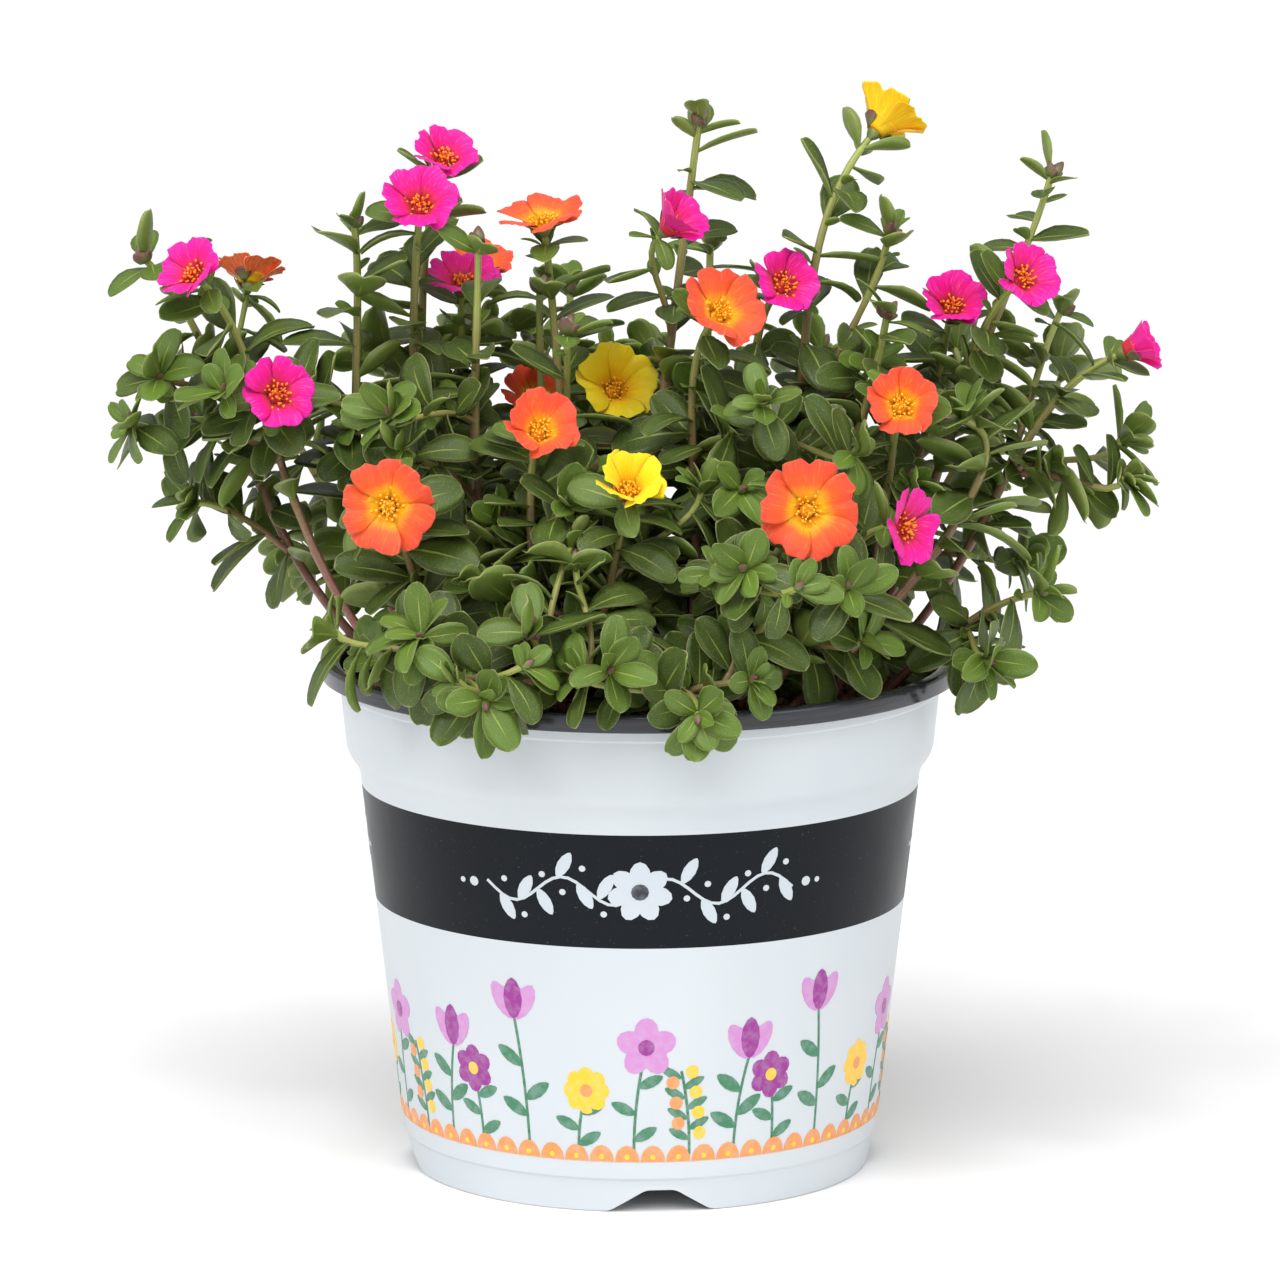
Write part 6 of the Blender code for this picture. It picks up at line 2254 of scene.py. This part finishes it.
def oval(x, z, length, width, angle, sharp=1.0, count=12):
    """A petal or a leaf that starts at x, z and runs at an angle in degrees; sharp over 1 points it."""
    run = Vector((math.cos(math.radians(angle)), math.sin(math.radians(angle))))
    beside = Vector((-run.y, run.x))
    return [
        Vector((x, z)) + run * (length * (0.5 - 0.5 * c)) + beside * (width / 2 * s * abs(s) ** (sharp - 1))
        for c, s in circle(count)
    ]


def disc(x, z, r, count=12):
    return [Vector((x + across, z + up)) for across, up in circle(count, r)]


def stroke(sheet, points, width, ink):
    """A line of even width through some points, each stretch a patch of its own."""
    for a, b in zip(points, points[1:]):
        run = (b - a).normalized() * (width * 0.4)
        beside = Vector((-run.y, run.x)).normalized() * (width / 2)
        patch(sheet, [a - run - beside, b + run - beside, b + run + beside, a - run + beside], ink)


def curved(x, z, rise, sway, count=8):
    """Points of a stem that rises from x, z and sways aside at its top."""
    return [Vector((x + sway * (k / count) ** 2, z + rise * k / count)) for k in range(count + 1)]


def flower(sheet, x, z, r, petals, ink, heart, width=0.8):
    for k in range(petals):
        patch(sheet, oval(x, z, r, r * width, 90 + 360 * k / petals), ink, 1 + k % 2)
    patch(sheet, disc(x, z, r * 0.27), heart, 4)

# %% The motifs
GROUND = 19.0
STROKE = 0.9
SCALLOPS = 12
MIDDLE_RADIUS = 80.0
WALL_REPEATS = 5
VINE_REPEATS = 3
PERIOD = 2 * math.pi * MIDDLE_RADIUS / WALL_REPEATS


def stalk(sheet, x, rise, sway, places, length=0, width=0):
    """A stem from the ground with leaves at some of its points, each at its own angle."""
    stem = curved(x, GROUND, rise, sway)
    stroke(sheet, stem, STROKE, "green")
    for k, angle in places:
        patch(sheet, oval(*stem[k], length, width, angle, 1.4), "green", 1)
    return stem


def bell_sprig(sheet, x, rise, sway):
    top = stalk(sheet, x, rise, sway, ((2, 150), (3, 35), (5, 145)), 10, 4.2)[-1]
    for turn, ink, layer in ((-32, "lilac", 2), (32, "lilac", 2), (0, "plum", 3)):
        patch(sheet, oval(top.x, top.y - 1, 13, 6.4, 90 + turn, 1.2), ink, layer)


def star_sprig(sheet, x, rise, sway, ink, heart, petals, r):
    top = stalk(sheet, x, rise, sway, ((1, 30), (3, 155), (5, 25)), 8.5, 3.6)[-1]
    flower(sheet, *top, r, petals, ink, heart)


def berry_sprig(sheet, x, rise, sway):
    stem = stalk(sheet, x, rise, sway, ())
    for k, spot in enumerate(stem[2:]):
        side = 1 if k % 2 else -1
        patch(sheet, oval(spot.x, spot.y - 2, 7.5, 2.8, 90 - side * 62, 1.4), "green", 1)
        patch(sheet, disc(spot.x - side * 3.4, spot.y, 2.1), "terracotta" if k % 2 else "yellow", 2)


def wall_motif():
    sheet = {"points": [], "faces": [], "ink": []}
    wide = PERIOD / SCALLOPS
    upper_half = circle(16)[:9]
    for k in range(SCALLOPS):
        x = -PERIOD / 2 + wide * (k + 0.5)
        hill = [Vector((x + wide * 0.48 * c, GROUND - 2.5 + wide * 0.62 * s)) for c, s in upper_half]
        patch(sheet, hill, "terracotta", 3)
        patch(sheet, disc(x, GROUND - 0.9, 0.9, 8), "yellow", 4)
    bell_sprig(sheet, -PERIOD * 0.37, 42, -3)
    star_sprig(sheet, -PERIOD * 0.2, 20, 3, "yellow", "terracotta", 8, 7.5)
    star_sprig(sheet, -PERIOD * 0.02, 34, 4, "lilac", "plum", 5, 9.5)
    berry_sprig(sheet, PERIOD * 0.16, 26, -3)
    bell_sprig(sheet, PERIOD * 0.31, 30, 4)
    star_sprig(sheet, PERIOD * 0.45, 23, -2, "plum", "yellow", 6, 7.5)
    return sheet


def vine_motif():
    sheet = {"points": [], "faces": [], "ink": []}
    middle, half = (BAND_LOW + BAND_HIGH) / 2, 46

    def sway(x):
        return Vector((x, middle + 4.2 * math.sin(x * math.pi / 15.0)))

    stroke(sheet, [sway(-half + 2.3 * k) for k in range(int(half / 1.15) + 1)], STROKE, "pale")
    for k, x in enumerate(range(-42, 43, 6)):
        spot, side = sway(x), 1 if k % 2 else -1
        if abs(x) > 6:
            patch(sheet, oval(spot.x, spot.y, 9, 3.8, side * 62, 1.4), "pale", 1)
            patch(sheet, disc(spot.x + 1.5, spot.y - side * 4.6, 1.0, 8), "pale", 1)
    flower(sheet, 0, middle, 9.5, 7, "pale", "dark", 0.66)
    for x in (-half - 5, half + 5):
        patch(sheet, disc(x, middle, 1.5), "pale")
        patch(sheet, disc(x * 1.08, middle, 0.9, 8), "pale")
    return sheet

# %% [markdown]
# ## Wrapping the motif on the wall
#
# The tree copies the flat motif side by side on a line, then bends the whole: the way along the wall
# becomes a turn about the pot's axis, and the radius follows the wall, which widens with height. So one
# drawing runs all round the pot, and a change to it shows in every copy.

# %% The frieze's tree
def frieze_tree():
    tree, given = geometry_tree("frieze", {
        "Repeats": "Int", "Pitch": "Float", "Middle radius": "Float", "Floor radius": "Float",
        "Slope": "Float", "Finish": "Material",
    })
    step = result(tree, "ShaderNodeCombineXYZ", {"X": given["Pitch"]})
    line = result(tree, "GeometryNodeMeshLine", {"Count": given["Repeats"], "Offset": step}, mode="OFFSET")
    copies = result(tree, "GeometryNodeInstanceOnPoints", {"Points": line, "Instance": given["Geometry"]})
    flat = result(tree, "GeometryNodeRealizeInstances", {0: copies})
    place = put(tree, "ShaderNodeSeparateXYZ", {0: result(tree, "GeometryNodeInputPosition")}).outputs
    rise = math_node(tree, "MULTIPLY", place["Z"], given["Slope"])
    wall = math_node(tree, "ADD", given["Floor radius"], rise)
    radius = math_node(tree, "ADD", wall, place["Y"])
    turn = math_node(tree, "DIVIDE", place["X"], given["Middle radius"])
    toward = math_node(tree, "MULTIPLY", radius, -1.0)
    spot = result(tree, "ShaderNodeCombineXYZ", {
        "X": math_node(tree, "MULTIPLY", radius, math_node(tree, "SINE", turn)),
        "Y": math_node(tree, "MULTIPLY", toward, math_node(tree, "COSINE", turn)), "Z": place["Z"],
    })
    wrapped = result(tree, "GeometryNodeSetPosition", {"Geometry": flat, "Position": spot})
    return finish_tree(tree, (wrapped,), {None: given["Finish"]})


def ink_finish():
    made, tree, shader = finish("printed_ink")
    ink = put(tree, "ShaderNodeVertexColor", layer_name="ink").outputs["Color"]
    worn = between(tree, grain(tree, 420.0, 3.0), 0.35, 0.7, 0.0, 0.16)
    plug(shader, {
        "Base Color": mixed(tree, worn, ink, COAT_WHITE),
        "Roughness": between(tree, grain(tree, 60.0), 0.3, 0.7, 0.34, 0.42),
    })
    return made


FRIEZE, PRINTED = frieze_tree(), ink_finish()
SLOPE = (BODY_TOP_RADIUS - BODY_BOTTOM_RADIUS) / (BODY_TOP - BODY_BOTTOM)
SLOPE_FOOT = BODY_BOTTOM_RADIUS - SLOPE * BODY_BOTTOM


def print_on_wall(name, sheet, repeats):
    mesh = mesh_of(name, sheet["points"], sheet["faces"])
    give(mesh, "ink", "FLOAT_COLOR", sheet["ink"])
    outward(mesh)
    made = built(name, mesh, FRIEZE, {
        "Repeats": repeats, "Pitch": 2 * math.pi * MIDDLE_RADIUS / repeats * MILLIMETRE,
        "Middle radius": MIDDLE_RADIUS * MILLIMETRE, "Floor radius": SLOPE_FOOT * MILLIMETRE, "Slope": SLOPE,
        "Finish": PRINTED,
    })
    return standing_in(made, "pot_plastic")


prints = [
    print_on_wall("printed_sprigs", wall_motif(), WALL_REPEATS),
    print_on_wall("printed_vine", vine_motif(), VINE_REPEATS),
]
print("Prints:", [triangle_count(thing) for thing in prints], "triangles")

# %% [markdown]
# ## Floor and light
#
# The photograph is a plant on plain white under soft light from all sides, a little stronger from
# above. A pale floor and a pale surrounding give most of it, with one wide, soft sun from above and
# three weak lamps that put a little shine on the leaves and the rim.

# %% Floor and lights
FLOOR_SIZE = 30.0
FLOOR_COLOUR = (0.88, 0.88, 0.88, 1)
SURROUND = (1.0, 1.0, 1.0, 1)
SURROUND_STRENGTH = 0.55
LAMPS_AIM = Vector((0, 0, 0.15))


def make_floor():
    half = FLOOR_SIZE / 2
    corners = [(-half, -half, 0), (half, -half, 0), (half, half, 0), (-half, half, 0)]
    mesh = mesh_of("floor", corners, [(0, 1, 2, 3)], scale=1)
    made, _, shader = finish("floor_paint")
    plug(shader, {"Base Color": FLOOR_COLOUR, "Roughness": 0.9})
    mesh.materials.append(made)
    return stand("floor", mesh)


def make_lamp(name, kind, azimuth, elevation, power, **shape):
    """A lamp that shines from a direction onto the plant."""
    lamp = bpy.data.lights.new(name, kind)
    lamp.energy = power
    for key, value in shape.items():
        setattr(lamp, key, value)
    made = stand(name, lamp)
    made.rotation_euler = direction(azimuth, elevation).to_track_quat("Z", "Y").to_euler()
    return made


def make_disc_lamp(name, azimuth, elevation, distance, size, power):
    made = make_lamp(name, "AREA", azimuth, elevation, power, shape="DISK", size=size)
    made.location = direction(azimuth, elevation) * distance + LAMPS_AIM


def make_surround():
    world = bpy.data.worlds.new("surround")
    world.use_nodes = True
    plug(world.node_tree.nodes["Background"], {"Color": SURROUND, "Strength": SURROUND_STRENGTH})
    bpy.context.scene.world = world


floor = make_floor()
make_surround()
make_lamp("overhead", "SUN", -8, 56, 2.35, angle=math.radians(60))
make_disc_lamp("fill", 55, 25, 1.8, 1.0, 4)
make_disc_lamp("side", -60, 30, 1.6, 0.5, 4)
make_disc_lamp("sparkle", -12, 62, 1.4, 0.16, 2.5)
bpy.context.scene.view_settings.view_transform = "Standard"
print("Lamps:", [thing.name for thing in bpy.data.objects if thing.type == "LIGHT"])
